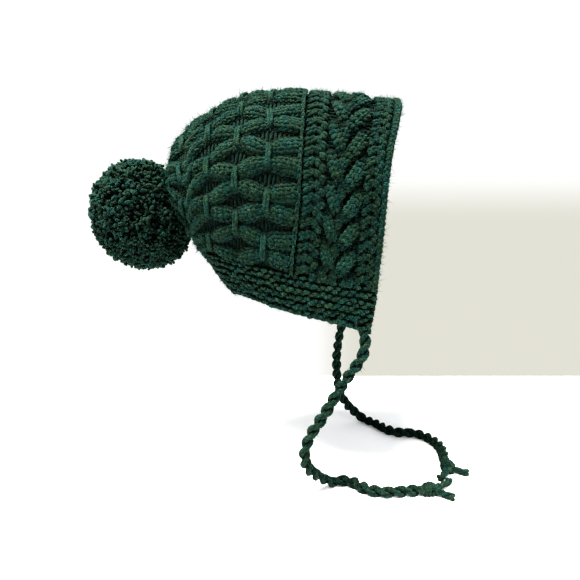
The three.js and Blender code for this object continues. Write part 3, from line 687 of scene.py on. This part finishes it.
def wrap_strands(yarns, sheet, at, rib):
    """Two strands over a rib and the next, drawn in at both ends."""
    centre = (rib_centre(rib, at) + rib_centre(rib + 1, at)) / 2
    v = np.array([to_v(centre)])
    dv = metric(sheet, np.array([float(at)]), v)[1]
    half = (0.5 - RIB_DRAW + RIB_TIGHT) * 2 / RIBS * dv
    x = np.linspace(-1, 1, 13)
    t = x * half[0] * 1.02
    tilt = RNG.normal(0, 0.09)
    for offset in (-1.05, 1.05):
        s = offset * (1 - 0.45 * x**4) + 0.45 * np.sin(3 * x + RNG.uniform(0, 6))
        height = -0.8 - 4.2 * np.abs(x) ** 5 + 0.3 * np.cos(2 * x)
        radius = 1.25 * (1 - 0.12 * x**2) * (1 + jitter(13, 0.06))
        tone = RNG.uniform(0.5, 1, 1)
        lay(yarns, sheet, [at], v, np.pi / 2 + tilt, t, s, height, radius, tone)


def crown_yarns(sheet):
    ribs, sides, wraps = Yarns(5), Yarns(4), Yarns(8)
    for rib in range(RIBS):
        rib_legs(ribs, sheet, rib, RIB_LINES)
        rib_legs(sides, sheet, rib, SIDE_LINES)
    for rib in range(-1, RIBS):
        groove_bars(sides, sheet, rib)
    for at in WRAPS:
        for rib in range(RIBS - 1):
            if (rib + at - JOIN + 1) % 2 == 0:
                wrap_strands(wraps, sheet, at, rib)
    return ribs, sides, wraps


# Cable band. Across is a share of the band's width, from the join to the face edge.
CHEVRON = 8.6
CABLE = 19.4


def band_u(across):
    return JOIN + 0.02 + across * (FACE - JOIN - 0.02)


def steps_round(sheet, u, step, reach=0.995, loose=0.0):
    """Places along v, even in mm, on the line u, with steps wider by loose over the temples."""
    fine = np.linspace(-reach, reach, 600)
    line = sheet.at(np.full(600, u), fine)[0]
    wider = 1 + loose * np.exp(-(((np.abs(fine[1:]) - 0.4) / 0.2) ** 2))
    run = run_along(line, wider)
    count = int(run[-1] / step)
    return np.interp((np.arange(count) + 0.5) / count * run[-1], run, fine)


def slim_plait(yarns, sheet, middle, width):
    """Chevrons that point to +v: each arm is three lines of stitch legs, two legs long, with a hole between
    the arms."""
    v = steps_round(sheet, band_u(middle), CHEVRON, 1.0)
    n = len(v)
    u = np.full(n, band_u(middle))
    reach = width / 2 - 0.9
    for side in (-1, 1):
        for line, height in enumerate((-2.5, -2.5, -3.7)):
            for share in (0.26, 0.7):
                share = share + 0.07 * (line - 1)
                across = side * (0.3 + share * reach)
                along = 2.8 + line * 2.5 - share * 6.2 - 0.6 * share**3
                slope = math.atan2(6.2 + 1.8 * share**2, reach)
                angle = math.pi / 2 - side * (math.pi / 2 + slope) + jitter(n, 0.1)
                place = shifted(sheet, u, v, across + jitter(n, 0.2), along + jitter(n, 0.3))
                lean = side * (0.16 if line % 2 else -0.16)
                high = height - 1.2 * abs(share - 0.5) + jitter(n, 0.2)
                lay_legs(yarns, sheet, *place, angle, lean, reach * 0.74, 3.1, high, 0.6, square=True)


# A cable strand's route from its start to the point of its V: across, along, height in mm.
FACE_ARM = np.array(
    [
        [12.4, 18.0, -3.8], [11.4, 14.0, -1.0], [8.8, 9.2, 0.7],
        [5.8, 4.7, 1.3], [2.9, 0.6, 0.9], [0.4, -3.0, -2.6],
    ]
)
BACK_ARM = np.array(
    [
        [-10.4, 22.6, -3.0], [-9.8, 17.0, -0.9], [-8.0, 11.2, -0.1], [-5.6, 6.0, 0.0],
        [-3.2, 1.6, -1.1], [-1.0, -2.0, -3.6],
    ]
)
MIDDLE_ARM = np.array(
    [
        [4.9, 22.6, -3.6], [3.8, 18.4, -1.9], [2.3, 13.4, -0.9],
        [0.8, 8.6, -1.0], [-0.4, 4.6, -1.9], [-1.0, 2.0, -3.6],
    ]
)
EDGE_ARM = np.array([[11.4, 28.0, -2.6], [10.2, 23.6, -1.8], [8.4, 19.6, -2.4], [7.2, 17.0, -4.2]])
# Columns: route, how far each row of stitches lies to the route's right, thickness.
CABLE_ARMS = [
    (FACE_ARM, (-4.9, -2.6, -0.3, 2.0), 2.9),
    (BACK_ARM, (-2.4, 0.0, 2.4), 2.9),
    (MIDDLE_ARM, (1.4, 3.6, 5.7), 2.8),
    (EDGE_ARM, (-2.2, 0.0, 2.2), 2.8),
]


LEG_PITCH = 3.5


def wide_plait(yarns, sheet, middle):
    """Nested V shapes that point to -v: the face side's strand crosses over the other two."""
    centres = steps_round(sheet, band_u(middle), CABLE, 1.0, 0.3)
    step = centres[1] - centres[0]
    centres = np.concatenate([centres[0] - step * np.array([2, 1]), centres, centres[-1:] + step])
    stretch = np.gradient(centres) / step
    start = np.full(len(centres), band_u(middle))
    for route, columns, thick in CABLE_ARMS:
        run = run_along(route[:, :2])
        count = int(run[-1] / LEG_PITCH)
        place = (np.arange(count) + 0.5) / count * run[-1]
        on_route = lambda at: np.stack([np.interp(at, run, route[:, c]) for c in range(3)], -1)
        spot = on_route(place)
        ahead = unit((on_route(place + 1) - on_route(place - 1))[:, :2])
        for k, offset in enumerate(columns):
            for i in range(count):
                along = ahead[i]
                spot_u = spot[i, 0] + offset * along[1]
                spot_v = spot[i, 1] - offset * along[0]
                aside = np.full(len(centres), spot_u)
                u, v = shifted(sheet, start, centres, aside, spot_v * stretch)
                drop = -0.07 * (offset - np.mean(columns)) ** 2
                angle = np.arctan2(along[1], along[0]) + jitter(len(centres), 0.06)
                lean = 0.34 if k % 2 else -0.34
                seen = np.abs(v) < 1.0
                u, v, angle = u[seen], v[seen], angle[seen]
                base = spot[i, 2] - 2.4 + drop + jitter(len(u), 0.2)
                lay_legs(yarns, sheet, u, v, angle, lean, 5.4, thick, base, 1.1, square=True)


# The purl ground. Columns: across, width and thickness of the bars in mm.
BAND_GROUND = [
    (0.035, 3.4, 2.2),
    (0.155, 5.0, 2.0),
    (0.27, 5.0, 2.2),
    (0.335, 5.0, 2.2),
    (0.40, 6.0, 2.0),
    (0.49, 8.0, 2.0),
    (0.58, 7.0, 2.0),
    (0.69, 5.0, 2.2),
    (0.8, 5.0, 2.0),
    (0.905, 4.0, 2.0),
]
GROUND_STEP = 3.6
EDGE_STEP = 3.9


def band_yarns(sheet):
    cables, ground = Yarns(5), Yarns(5)
    slim_plait(cables, sheet, 0.158, 17.6)
    slim_plait(cables, sheet, 0.815, 15.0)
    wide_plait(cables, sheet, 0.49)
    for across, width, thick in BAND_GROUND:
        v = steps_round(sheet, band_u(across), GROUND_STEP)
        u = np.full(len(v), band_u(across))
        lay_bars(ground, sheet, u, v, jitter(len(v), 0.12), width, thick, -5.4, 0.5)
    for across, lean, base in ((0.945, -0.42, -2.8), (0.978, 0.42, -3.0)):
        v = steps_round(sheet, band_u(across), EDGE_STEP)
        u = band_u(across) + jitter(len(v), 0.008)
        lay_legs(cables, sheet, u, v, np.pi / 2, lean, 5.2, 3.0, base + jitter(len(v), 0.2), 1.1, square=True)
    for height in (-3.6, -6.0):
        v = steps_round(sheet, FACE - 0.02, EDGE_STEP)
        lay_legs(cables, sheet, np.full(len(v), FACE - 0.04), v, np.pi / 2, 0.15, 5.4, 2.9, height, 0.3)
    return cables, ground


def chain_yarns(sheet):
    """A chain of loops along the join, proud of both fabrics."""
    chain = Yarns()
    v = steps_round(sheet, JOIN, 4.6)
    for lean, offset in ((-0.2, -0.6), (0.2, 0.6)):
        du = metric(sheet, np.full(len(v), float(JOIN)), v)[0]
        place = JOIN + (offset + jitter(len(v), 0.25)) / du
        angle = np.pi / 2 + jitter(len(v), 0.06)
        base = -1.8 + jitter(len(v), 0.2)
        lay_legs(chain, sheet, place, v, angle, lean, 6.4, 1.7, base, 0.9)
    return chain


NECK_ROWS = 10
BUMP_FORM = np.array([0.62, 0.98, 1.16, 1.16, 0.98, 0.62])
BUMP_BOW = np.array([0.12, 0.74, 1.0, 1.0, 0.74, 0.12])


def neck_yarns(sheet, length):
    """Garter stitch: rows of bumps, arched up and down in turn, each row half a stitch out of step."""
    bumps = Yarns(6)
    count = int(2 * length / 5.9)
    t = np.linspace(-0.5, 0.5, 6) * 5.3
    for row in range(NECK_ROWS + 1):
        level = (row + 0.15) / NECK_ROWS
        v = ((np.arange(count) + (0.5 if row % 2 else 0.0) + 0.25) / count * 2 - 1) * 0.99
        v = v + jitter(count, 0.0018)
        u = np.full(count, level) + jitter(count, 0.012)
        arch = (-0.35 if row % 2 else 0.8) + jitter((count, 1), 0.25)
        height = -4.9 + 2.7 * BUMP_BOW + (0.3 if row % 2 else 0.0) + jitter((count, 1), 0.3)
        radius = 1.36 * BUMP_FORM * (1 + jitter((count, 1), 0.1))
        lay(bumps, sheet, u, v, np.pi / 2 + jitter(count, 0.12), t, BUMP_BOW * arch, height, radius)
    for height in (-3.6, -5.6):
        edge = np.linspace(-0.985, 0.985, int(2 * length / 5.2))
        lay_bars(bumps, sheet, np.full(len(edge), 0.99), edge, np.pi / 2, 5.6, 2.6, height, 0.9, 0.5)
        for end in (-1, 1):
            level = np.linspace(0.04, 0.96, 8)
            lay_bars(bumps, sheet, level, np.full(8, end * 0.992), 0.0, 4.4, 2.7, height, 0.4)
    return bumps


# Pompom: the CAD part's ball, as cut yarn ends.
POM_HALF = np.array([43.0, 45.0, 47.0])
POM_MIDDLE = np.array([-BACK_REACH - 20.5, 0, EAR_LEVEL + 0.023 * CROWN_RISE - 17])
POM_TIP = math.radians(24)
STRANDS = 5600
LOCKS = 90
POM_DENT = np.array([0.46, -0.88, -0.12])


def pom_turn(points):
    cos, sin = math.cos(POM_TIP), math.sin(POM_TIP)
    x, y, z = points[..., 0], points[..., 1], points[..., 2]
    return np.stack([x * cos - z * sin, y, x * sin + z * cos], -1) + POM_MIDDLE


def inside_head(points):
    """Whether points lie inside the head-shaped surface, tested on upright sections."""
    s = sections(np.linspace(0, JOIN, 241))
    k = np.clip(np.searchsorted(s["x"], points[:, 0]), 0, 240)
    u = (points[:, 2] - s["mid"][k]) / np.where(points[:, 2] > s["mid"][k], s["top"][k], s["drop"][k])
    w = np.abs(points[:, 1]) / s["side"][k]
    return (points[:, 0] > s["x"][0]) & (np.abs(u) ** ARCH_SQUARE + w**ARCH_SQUARE < 1)


def spread_on_ball(count, loose):
    """Directions spread evenly over a ball, each turned a little at random."""
    i = np.arange(count)
    up = 1 - (2 * i + 1) / count
    turn = i * np.pi * (3 - math.sqrt(5))
    flat = np.sqrt(1 - up**2)
    return unit(np.stack([flat * np.cos(turn), flat * np.sin(turn), up], -1) + jitter((count, 3), loose))


def pompom_yarns():
    """Each cut end leans to the lock it belongs to, and ends between two locks lie lower."""
    strands = Yarns(4)
    way = spread_on_ball(STRANDS, 0.02)
    locks = spread_on_ball(LOCKS, 0.06)
    away = np.arccos(np.clip(way @ locks.T, -1, 1))
    near = np.sort(away, 1)
    high = np.clip((near[:, 1] - near[:, 0]) / (math.sqrt(4 * math.pi / LOCKS) * 0.55), 0, 1)
    reach = np.minimum(1.005 + jitter(STRANDS, 0.032), 1.06) - 0.07 * (1 - high)
    reach -= 0.06 * np.exp(-(np.arccos(np.clip(way @ POM_DENT, -1, 1)) ** 2) / 0.2)
    lean = locks[away.argmin(1)] - way
    drift = jitter((STRANDS, 3), 0.09)
    shares = np.array([0.8, 0.9, 0.97, 1.0])
    path = way[:, None] + (drift + 0.25 * lean)[:, None] * ((shares - 0.8) / 0.2)[None, :, None] ** 2
    path = unit(path)
    path = pom_turn(path * shares[None, :, None] * reach[:, None, None] * (POM_HALF - 1.4))
    normal = np.cross(way, [0.3, 0.5, 0.8])
    keep = ~inside_head(path[:, 2])
    radius = 1.18 * np.array([0.85, 0.95, 1.15, 1.0]) * (1 + jitter((STRANDS, 1), 0.15))
    # Painted shade: strand points darken the deeper they lie in the ball.
    depth = np.clip((0.985 - shares[None] * reach[:, None]) / 0.075, 0, 1)
    strands.add(path[keep], normal[keep], radius[keep], None, 1.0, depth[keep])
    return strands


def pompom_core(material):
    """A plain ball that closes the view between the strands; main gives it the darker backing wool, as
    painted shade deep in the pompom.
    """
    i, j = np.meshgrid(np.linspace(0.02, np.pi - 0.02, 17), np.linspace(0, 2 * np.pi, 33), indexing="ij")
    ball = np.stack([np.sin(i) * np.cos(j), np.sin(i) * np.sin(j), np.cos(i)], -1)
    verts = pom_turn(ball * POM_HALF * 0.8).reshape(-1, 3)
    grid = np.arange(17 * 33).reshape(17, 33)
    faces = np.stack([grid[:-1, :-1], grid[1:, :-1], grid[1:, 1:], grid[:-1, 1:]], -1).reshape(-1, 4)
    return make_mesh("pompom_core", verts, faces, np.zeros((len(verts), 2)), None, material)


# Ties: the CAD part's routes, from the neck band's front corners.
TIE_EXIT = np.array([56.0, 63.1, -178.6])
TIE_RIGHT = np.array(
    [
        [0, 0, 0], [0, 0, -2], [1, 3, -9], [-2, 7.5, -19.3],
        [-11, 8.5, -32.3], [-19, 9.5, -44.3], [-26, 10.5, -56.3], [-33.5, 11.5, -68.3],
        [-40.5, 12, -79.3], [-44.5, 12.5, -90.3], [-44.3, 11, -101.3], [-39.5, 6.5, -110.8],
        [-32, -0.5, -119.3], [-22.5, -7, -126.8], [-13.5, -9.5, -126.8], [-5.5, -6.5, -126.8],
        [3.5, 4, -126.8], [14.5, 9, -126.8], [25.5, 9, -126.8], [36.5, 7.5, -126.8],
        [47.5, 6, -126.8],
    ]
)
TIE_LEFT = np.array(
    [
        [0, 0, 0], [0, 0, -2], [0, 4, -10.5], [-4.5, 7.5, -25.3],
        [-7.5, 8.5, -41.3], [-9, 9.5, -56.3], [-9, 9.5, -71.3], [-7.5, 9.5, -86.3],
        [-3.5, 11, -99.3], [3.5, 14.5, -111.3], [11.5, 18.5, -120.3], [20.5, 16.5, -126.8],
        [29.5, 6, -126.8], [39.5, -11.5, -126.8], [51.5, -19.5, -126.8], [64.5, -21, -126.8],
        [74.5, -30, -126.8], [80.5, -44.5, -126.8], [81.5, -61, -126.8], [79, -77.5, -126.8],
        [78.5, -86.5, -126.8],
    ]
)


def smooth_line(points, step):
    """A Catmull-Rom line through the points, even in mm."""
    points = np.vstack([2 * points[0] - points[1], points, 2 * points[-1] - points[-2]])
    t = np.linspace(0, 1, 24, endpoint=False)[:, None]
    parts = []
    for p, q, r, w in zip(points, points[1:], points[2:], points[3:]):
        parts.append(q + 0.5 * t * (r - p + t * (2 * p - 5 * q + 4 * r - w + t * (3 * (q - r) + w - p))))
    line = np.concatenate([*parts, points[-2:-1]])
    run = run_along(line)
    place = np.linspace(0, run[-1], max(3, int(run[-1] / step) + 1))
    return np.stack([np.interp(place, run, line[:, k]) for k in range(3)], -1), place


def carried_frame(line):
    """Two directions square to the line that don't spin along it."""
    along = unit(np.gradient(line, axis=0))
    side = np.cross(along[0], [0.3, 0.9, 0.1])
    sides = []
    for a in along:
        side = side - a * (side @ a)
        side = side / np.linalg.norm(side)
        sides.append(side)
    sides = np.array(sides)
    return sides, np.cross(along, sides)


CORD_TWIST = {
    "plies": 2,
    "strands": 3,
    "ply_out": 2.38,
    "strand_out": 1.2,
    "radius": 1.4,
    "lay_length": 20.0,
    "inner_lay": 15.0,
}
TAIL_TWIST = {
    "plies": 1,
    "strands": 3,
    "ply_out": 0.0,
    "strand_out": 1.45,
    "radius": 1.35,
    "lay_length": 30.0,
    "inner_lay": 22.0,
}


def twisted(yarns, line, place, form, plies, strands, ply_out, strand_out, radius, lay_length, inner_lay):
    """A cord of plies, each of strands, wound at lay_length; form scales it along the line."""
    a, b = carried_frame(line)
    ply_reach = (ply_out * form)[:, None]
    strand_reach = (strand_out * form)[:, None]
    for ply in range(plies):
        phase = 2 * np.pi * (place / lay_length + ply / plies)
        centre = line + (a * np.cos(phase)[:, None] + b * np.sin(phase)[:, None]) * ply_reach
        c, d = carried_frame(centre)
        tone = RNG.uniform(0, 1)
        for strand in range(strands):
            turn = 2 * np.pi * (strand / strands - place / inner_lay)
            path = centre + (c * np.cos(turn)[:, None] + d * np.sin(turn)[:, None]) * strand_reach
            shade = tone + jitter(1, 0.15)
            # Painted shade: strands near the cord's middle are darkened.
            away = np.linalg.norm(path - line, axis=1)
            inner = np.clip((ply_out + 0.2 - away) / 2.2, 0, 1) if plies > 1 else 0.0
            yarns.add(path[None], c[None], (radius * form)[None], shade, 1.0, inner)


def tie_line(name):
    side, route = (-1, TIE_RIGHT) if name == "right" else (1, TIE_LEFT)
    points = TIE_EXIT + route
    points[:, 1] *= side
    return smooth_line(points, 1.4)


def tie_cord(name, material):
    line, place = tie_line(name)
    yarns = Yarns(6)
    form = 0.94 + 0.07 * np.clip(place / place[-1], 0, 1) + 0.04 * np.sin(place / 9)
    twisted(yarns, line, place, form, **CORD_TWIST)
    # A core strand along the middle with strong painted shade, which fills the view between the plies.
    yarns.add(line[None], carried_frame(line)[0][None], np.full(len(line), 2.0), [0.5], 1.0, 0.9)
    return yarns.build("tie_cord_" + name, material), line, place[-1]


# The two loose tails of each knot: mm ahead and aside.
TAILS = {"right": [(23, 15), (15, -12)], "left": [(8, 15), (18, -11)]}


def tie_knot(name, line, material):
    """The cord's end bound by a turn of its own strands, which then lie apart as two loose tails."""
    yarns = Yarns(6)
    way = line[-1] - line[-4]
    way /= np.linalg.norm(way)
    left = np.array([-way[1], way[0], 0])
    middle = line[-1] + way * 6
    ground = line[-1, 2] - 4.5
    turns = np.linspace(0, 2 * np.pi, 15)
    for k, along in enumerate((-3.6, -0.9, 1.8, 4.2)):
        wide = (4.3, 5.0, 4.8, 3.9)[k]
        ring = middle + way * (along + 0.8 * np.sin(turns + k))[:, None]
        ring = ring + left * (wide * np.cos(turns))[:, None] + UP * (wide * np.sin(turns))[:, None]
        ring[:, 2] = np.maximum(ring[:, 2], ground + 1.3)
        yarns.add(ring[None], np.cross(way, ring - middle)[None], np.full(15, 1.5), None, 1.0)
    core = middle + way * np.linspace(-7, 6, 6)[:, None]
    yarns.add(core[None], np.tile(UP, (6, 1))[None], np.array([3.4, 4.1, 4.3, 4.2, 3.6, 2.6]), None, 1.0)
    for ahead, aside in TAILS[name]:
        points = np.array(
            [
                middle,
                middle + way * ahead * 0.35 + left * aside * 0.28,
                middle + way * ahead * 0.7 + left * aside * 0.62,
                middle + way * ahead + left * aside,
            ]
        )
        points[1:, 2] = [ground + 4.2, ground + 3.2, ground + 3.0]
        tail, place = smooth_line(points, 1.3)
        form = 1 + 0.22 * (place / place[-1]) ** 2
        twisted(yarns, tail, place, form, **TAIL_TWIST)
    return yarns.build("tie_knot_yarns_" + name, material)


# Columns: piece, slot, yarns it grows from, fibres, longest in mm.
FUZZ = [
    ("crown_fuzz", "crown_knit", ("crown_ribs", "crown_wraps"), 42000, 7.5),
    ("band_fuzz", "band_knit", ("band_cables",), 32000, 7.5),
    ("neck_fuzz", "garter_knit", ("neck_bumps",), 10000, 6.0),
    ("pompom_fuzz", "pompom_yarn", ("pompom_strands",), 8000, 4.0),
    ("cord_fuzz", "cord_yarn", ("tie_cord_right", "tie_cord_left"), 6000, 4.5),
]
FIBRE_WIDE = 0.26


def fibres(name, sources, count, length, material):
    """Loose fibres that stand off the yarns: slim points, from random places on the sources."""
    places, normals = [], []
    for obj in sources:
        n = len(obj.data.vertices)
        co, no = np.empty(n * 3, np.float32), np.empty(n * 3, np.float32)
        obj.data.vertices.foreach_get("co", co)
        obj.data.vertex_normals.foreach_get("vector", no)
        places.append(co.reshape(-1, 3) / MM)
        normals.append(no.reshape(-1, 3))
    places, normals = np.concatenate(places), np.concatenate(normals)
    pick = RNG.integers(0, len(places), count)
    start, out = places[pick], normals[pick]
    loose = unit(RNG.normal(0, 1, (count, 3)))
    way = unit(loose + out * RNG.uniform(0.1, 0.9, (count, 1)))
    long = length * RNG.uniform(0.3, 1, (count, 1))
    wide = np.cross(way, RNG.normal(0, 1, (count, 3)))
    wide *= FIBRE_WIDE / np.maximum(np.linalg.norm(wide, axis=1, keepdims=True), 1e-6)
    verts = np.stack([start, start + wide, start + way * long], 1).reshape(-1, 3)
    faces = np.arange(3 * count).reshape(-1, 3)
    tone = np.repeat(RNG.uniform(0, 1, count), 3)
    return make_mesh(name, verts, faces, np.zeros((len(verts), 2)), tone, material)


def inside_bumps(name, sheet, u_low, u_high, count_v, step, material):
    """The back of the knitting, as seen inside the bonnet: rows of purl bumps."""
    bumps = Yarns(3)
    for k in range(count_v):
        place = -1 + 2 * (k + 0.5) / count_v
        u = rows_on(sheet, lambda at: np.full(np.shape(at), place), u_low, u_high, step)
        u = u + (0.5 if k % 2 else 0) * (u[1] - u[0]) * 0.9
        v = np.full(len(u), place)
        dv = metric(sheet, u, v)[1]
        wide = np.clip(2 / count_v * dv * 1.25, 1.5, 7.5)
        angle = np.pi / 2 + jitter(len(u), 0.06)
        lay_bars(bumps, sheet, u, v, angle, wide, 2.4, -FABRIC + 0.7, -0.9, 0.8, dark=(8.2, 2.0))
    return bumps.build(name, material)


# Studio: the photo's camera, a pale table that ends behind the bonnet, and soft light. Places in metres.
FLOOR = -0.3095
HEAD_AT = (0, 0, -0.08)
CORDS_AT = (0.08, 0.05, -0.3)
# Columns: name, place, aim, size, power, colour.
LAMPS = [
    ("key", (-0.35, -0.4, 1.1), HEAD_AT, 0.7, 64.0, (1.0, 0.985, 0.96)),
    ("fill", (0.5, -0.9, 0.2), HEAD_AT, 0.9, 2.2, (0.95, 0.98, 1.0)),
    ("cord_fill", (0.27, -0.2, -0.26), CORDS_AT, 0.05, 0.42, (1.0, 0.99, 0.97)),
]


def set_camera(scene):
    lens = bpy.data.cameras.new("camera")
    lens.sensor_width = 36
    lens.lens = 36.06
    lens.clip_start = 0.01
    camera = bpy.data.objects.new("camera", lens)
    camera.location = (0, -0.494, -0.0795)
    camera.rotation_euler = (math.radians(81), 0, 0)
    scene.collection.objects.link(camera)
    scene.camera = camera


def set_world(scene):
    world = bpy.data.worlds.new("studio")
    world.use_nodes = True
    set_inputs(world.node_tree.nodes["Background"], {"Color": (0.93, 0.97, 1.0, 1), "Strength": 0.27})
    scene.world = world
    scene.view_settings.view_transform = "Standard"
    scene.view_settings.look = "Very High Contrast"


def add_lamps(scene):
    for name, place, aim, size, power, colour in LAMPS:
        lamp = bpy.data.lights.new(name, "AREA")
        lamp.shape = "DISK"
        lamp.size = size
        lamp.energy = power
        lamp.color = colour
        obj = bpy.data.objects.new(name, lamp)
        obj.location = place
        obj.rotation_euler = (Vector(aim) - Vector(place)).to_track_quat("-Z", "Y").to_euler()
        scene.collection.objects.link(obj)


def table_white():
    """A pale, matt table that glows a little: painted light that lightens the shadows on it."""
    material, _, shader = shaded("table_white")
    set_inputs(shader, {"Base Color": (0.88, 0.88, 0.88, 1), "Roughness": 0.6})
    set_inputs(shader, {"Emission Color": (1, 1, 1, 1), "Emission Strength": 0.14})
    return material


def wall_white():
    """A bright wall, a little greyer low down on the right."""
    material, tree, shader = shaded("wall_white")
    set_inputs(shader, {"Base Color": (0, 0, 0, 1), "Roughness": 1.0})
    set_inputs(shader, {"Specular IOR Level": 0.0, "Emission Strength": 1.0})
    parts = tree.nodes.new("ShaderNodeSeparateXYZ")
    tree.links.new(object_place(tree), parts.inputs[0])
    to_right = mask(tree, parts.outputs["X"], 0.03, 0.17)
    low_down = mask(tree, parts.outputs["Z"], 0.0, -0.14)
    corner = math_node(tree, "MULTIPLY", to_right, low_down)
    tint = mix(tree, corner, (0.612, 0.612, 0.612, 1), (0.483, 0.478, 0.437, 1))
    tree.links.new(tint, shader.inputs["Emission Color"])
    return material


def add_plane(name, corners, material):
    make_mesh(name, corners, [[0, 1, 2, 3]], material=material)


def studio():
    scene = bpy.context.scene
    set_camera(scene)
    set_world(scene)
    add_lamps(scene)
    z = FLOOR / MM
    add_plane("table", [[-2500, -1500, z], [2500, -1500, z], [2500, 238, z], [-2500, 238, z]], table_white())
    corners = [[-3000, 900, -1500], [3000, 900, -1500], [3000, 900, 2500], [-3000, 900, 2500]]
    add_plane("wall", corners, wall_white())


def main():
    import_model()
    studio()
    groups = {"heather": heather_group(), "twist": twist_group()}
    # Copies of one wool, each scaled to the brightness its piece shows: the scale paints part of the piece's
    # light and shade into its colour.
    crown_wool = wool("crown_wool", groups, 0.93)
    wrap_wool = wool("wrap_wool", groups, 1.12, 1.2)
    band_wool = wool("band_wool", groups, 1.06)
    chain_wool = wool("chain_wool", groups, 1.0)
    neck_wool = wool("neck_wool", groups, 1.3)
    pompom_wool = wool("pompom_wool", groups, 1.05)
    cord_wool = wool("cord_wool", groups, 0.85, fleck=0.6)
    # A darker copy of the wool, without flecks, for the backing behind the yarns and the pompom's core:
    # painted shade where the gaps show.
    shade_wool = wool("painted_shade_backing_wool", groups, 0.45, fleck=0.0)
    sheet = head_sheet()
    neck, neck_length = neck_sheet()
    made = {}
    vs = np.linspace(-1, 1, 121)

    def piece(obj, slot_name, *nodes):
        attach(obj, "root")
        if nodes:
            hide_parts(*nodes)
        made[obj.name] = obj
        return obj

    for name in ("right", "left"):
        cord, line, length = tie_cord(name, cord_wool)
        piece(cord, "cord_yarn", "tie_" + name)
        knot = piece(tie_knot(name, line, cord_wool), "cord_yarn", "tie_knot_" + name)

    ribs, sides, wraps = crown_yarns(sheet)
    piece(ribs.build("crown_ribs", crown_wool), "crown_knit", "crown")
    piece(sides.build("crown_grooves", crown_wool), "crown_knit")
    piece(wraps.build("crown_wraps", wrap_wool), "crown_knit")
    us = np.concatenate([np.linspace(0.0, 1, 8), np.linspace(1.15, JOIN + 0.06, 40)])
    piece(sheet_mesh("crown_fabric", sheet, us, vs, -6.2, INSIDE, shade_wool), "crown_knit")
    piece(inside_bumps("crown_inside", sheet, 0.9, JOIN - 0.05, 48, 5.6, crown_wool), "crown_knit")

    cables, band_ground = band_yarns(sheet)
    piece(cables.build("band_cables", band_wool), "band_knit", "cable_band")
    piece(band_ground.build("band_ground", band_wool), "band_knit")
    us = np.linspace(JOIN + 0.02, FACE - 0.03, 20)
    piece(sheet_mesh("band_fabric", sheet, us, vs, -5.5, INSIDE, shade_wool), "band_knit")
    piece(inside_bumps("band_inside", sheet, JOIN + 0.06, FACE - 0.1, 56, 5.6, band_wool), "band_knit")
    piece(chain_yarns(sheet).build("join_chain_yarns", chain_wool), "chain_yarn", "join_chain")

    piece(neck_yarns(neck, neck_length).build("neck_bumps", neck_wool), "garter_knit", "neck_band")
    us, vs = np.linspace(0.01, 0.98, 6), np.linspace(-0.995, 0.995, 121)
    piece(sheet_mesh("neck_fabric", neck, us, vs, -4.0, INSIDE, shade_wool), "garter_knit")

    piece(pompom_yarns().build("pompom_strands", pompom_wool), "pompom_yarn", "pompom")
    piece(pompom_core(shade_wool), "pompom_yarn")
    piece(inside_bumps("neck_inside", neck, 0.06, 0.96, 52, 6.4, neck_wool), "garter_knit")

    # A lighter copy of the wool for the loose fibres: painted light for the halo that the fibres catch.
    fuzz_wool = wool("fuzz_wool", groups, 1.9, 0.0)
    for name, slot_name, sources, count, length in FUZZ:
        piece(fibres(name, [made[source] for source in sources], count, length, fuzz_wool), slot_name)


main()
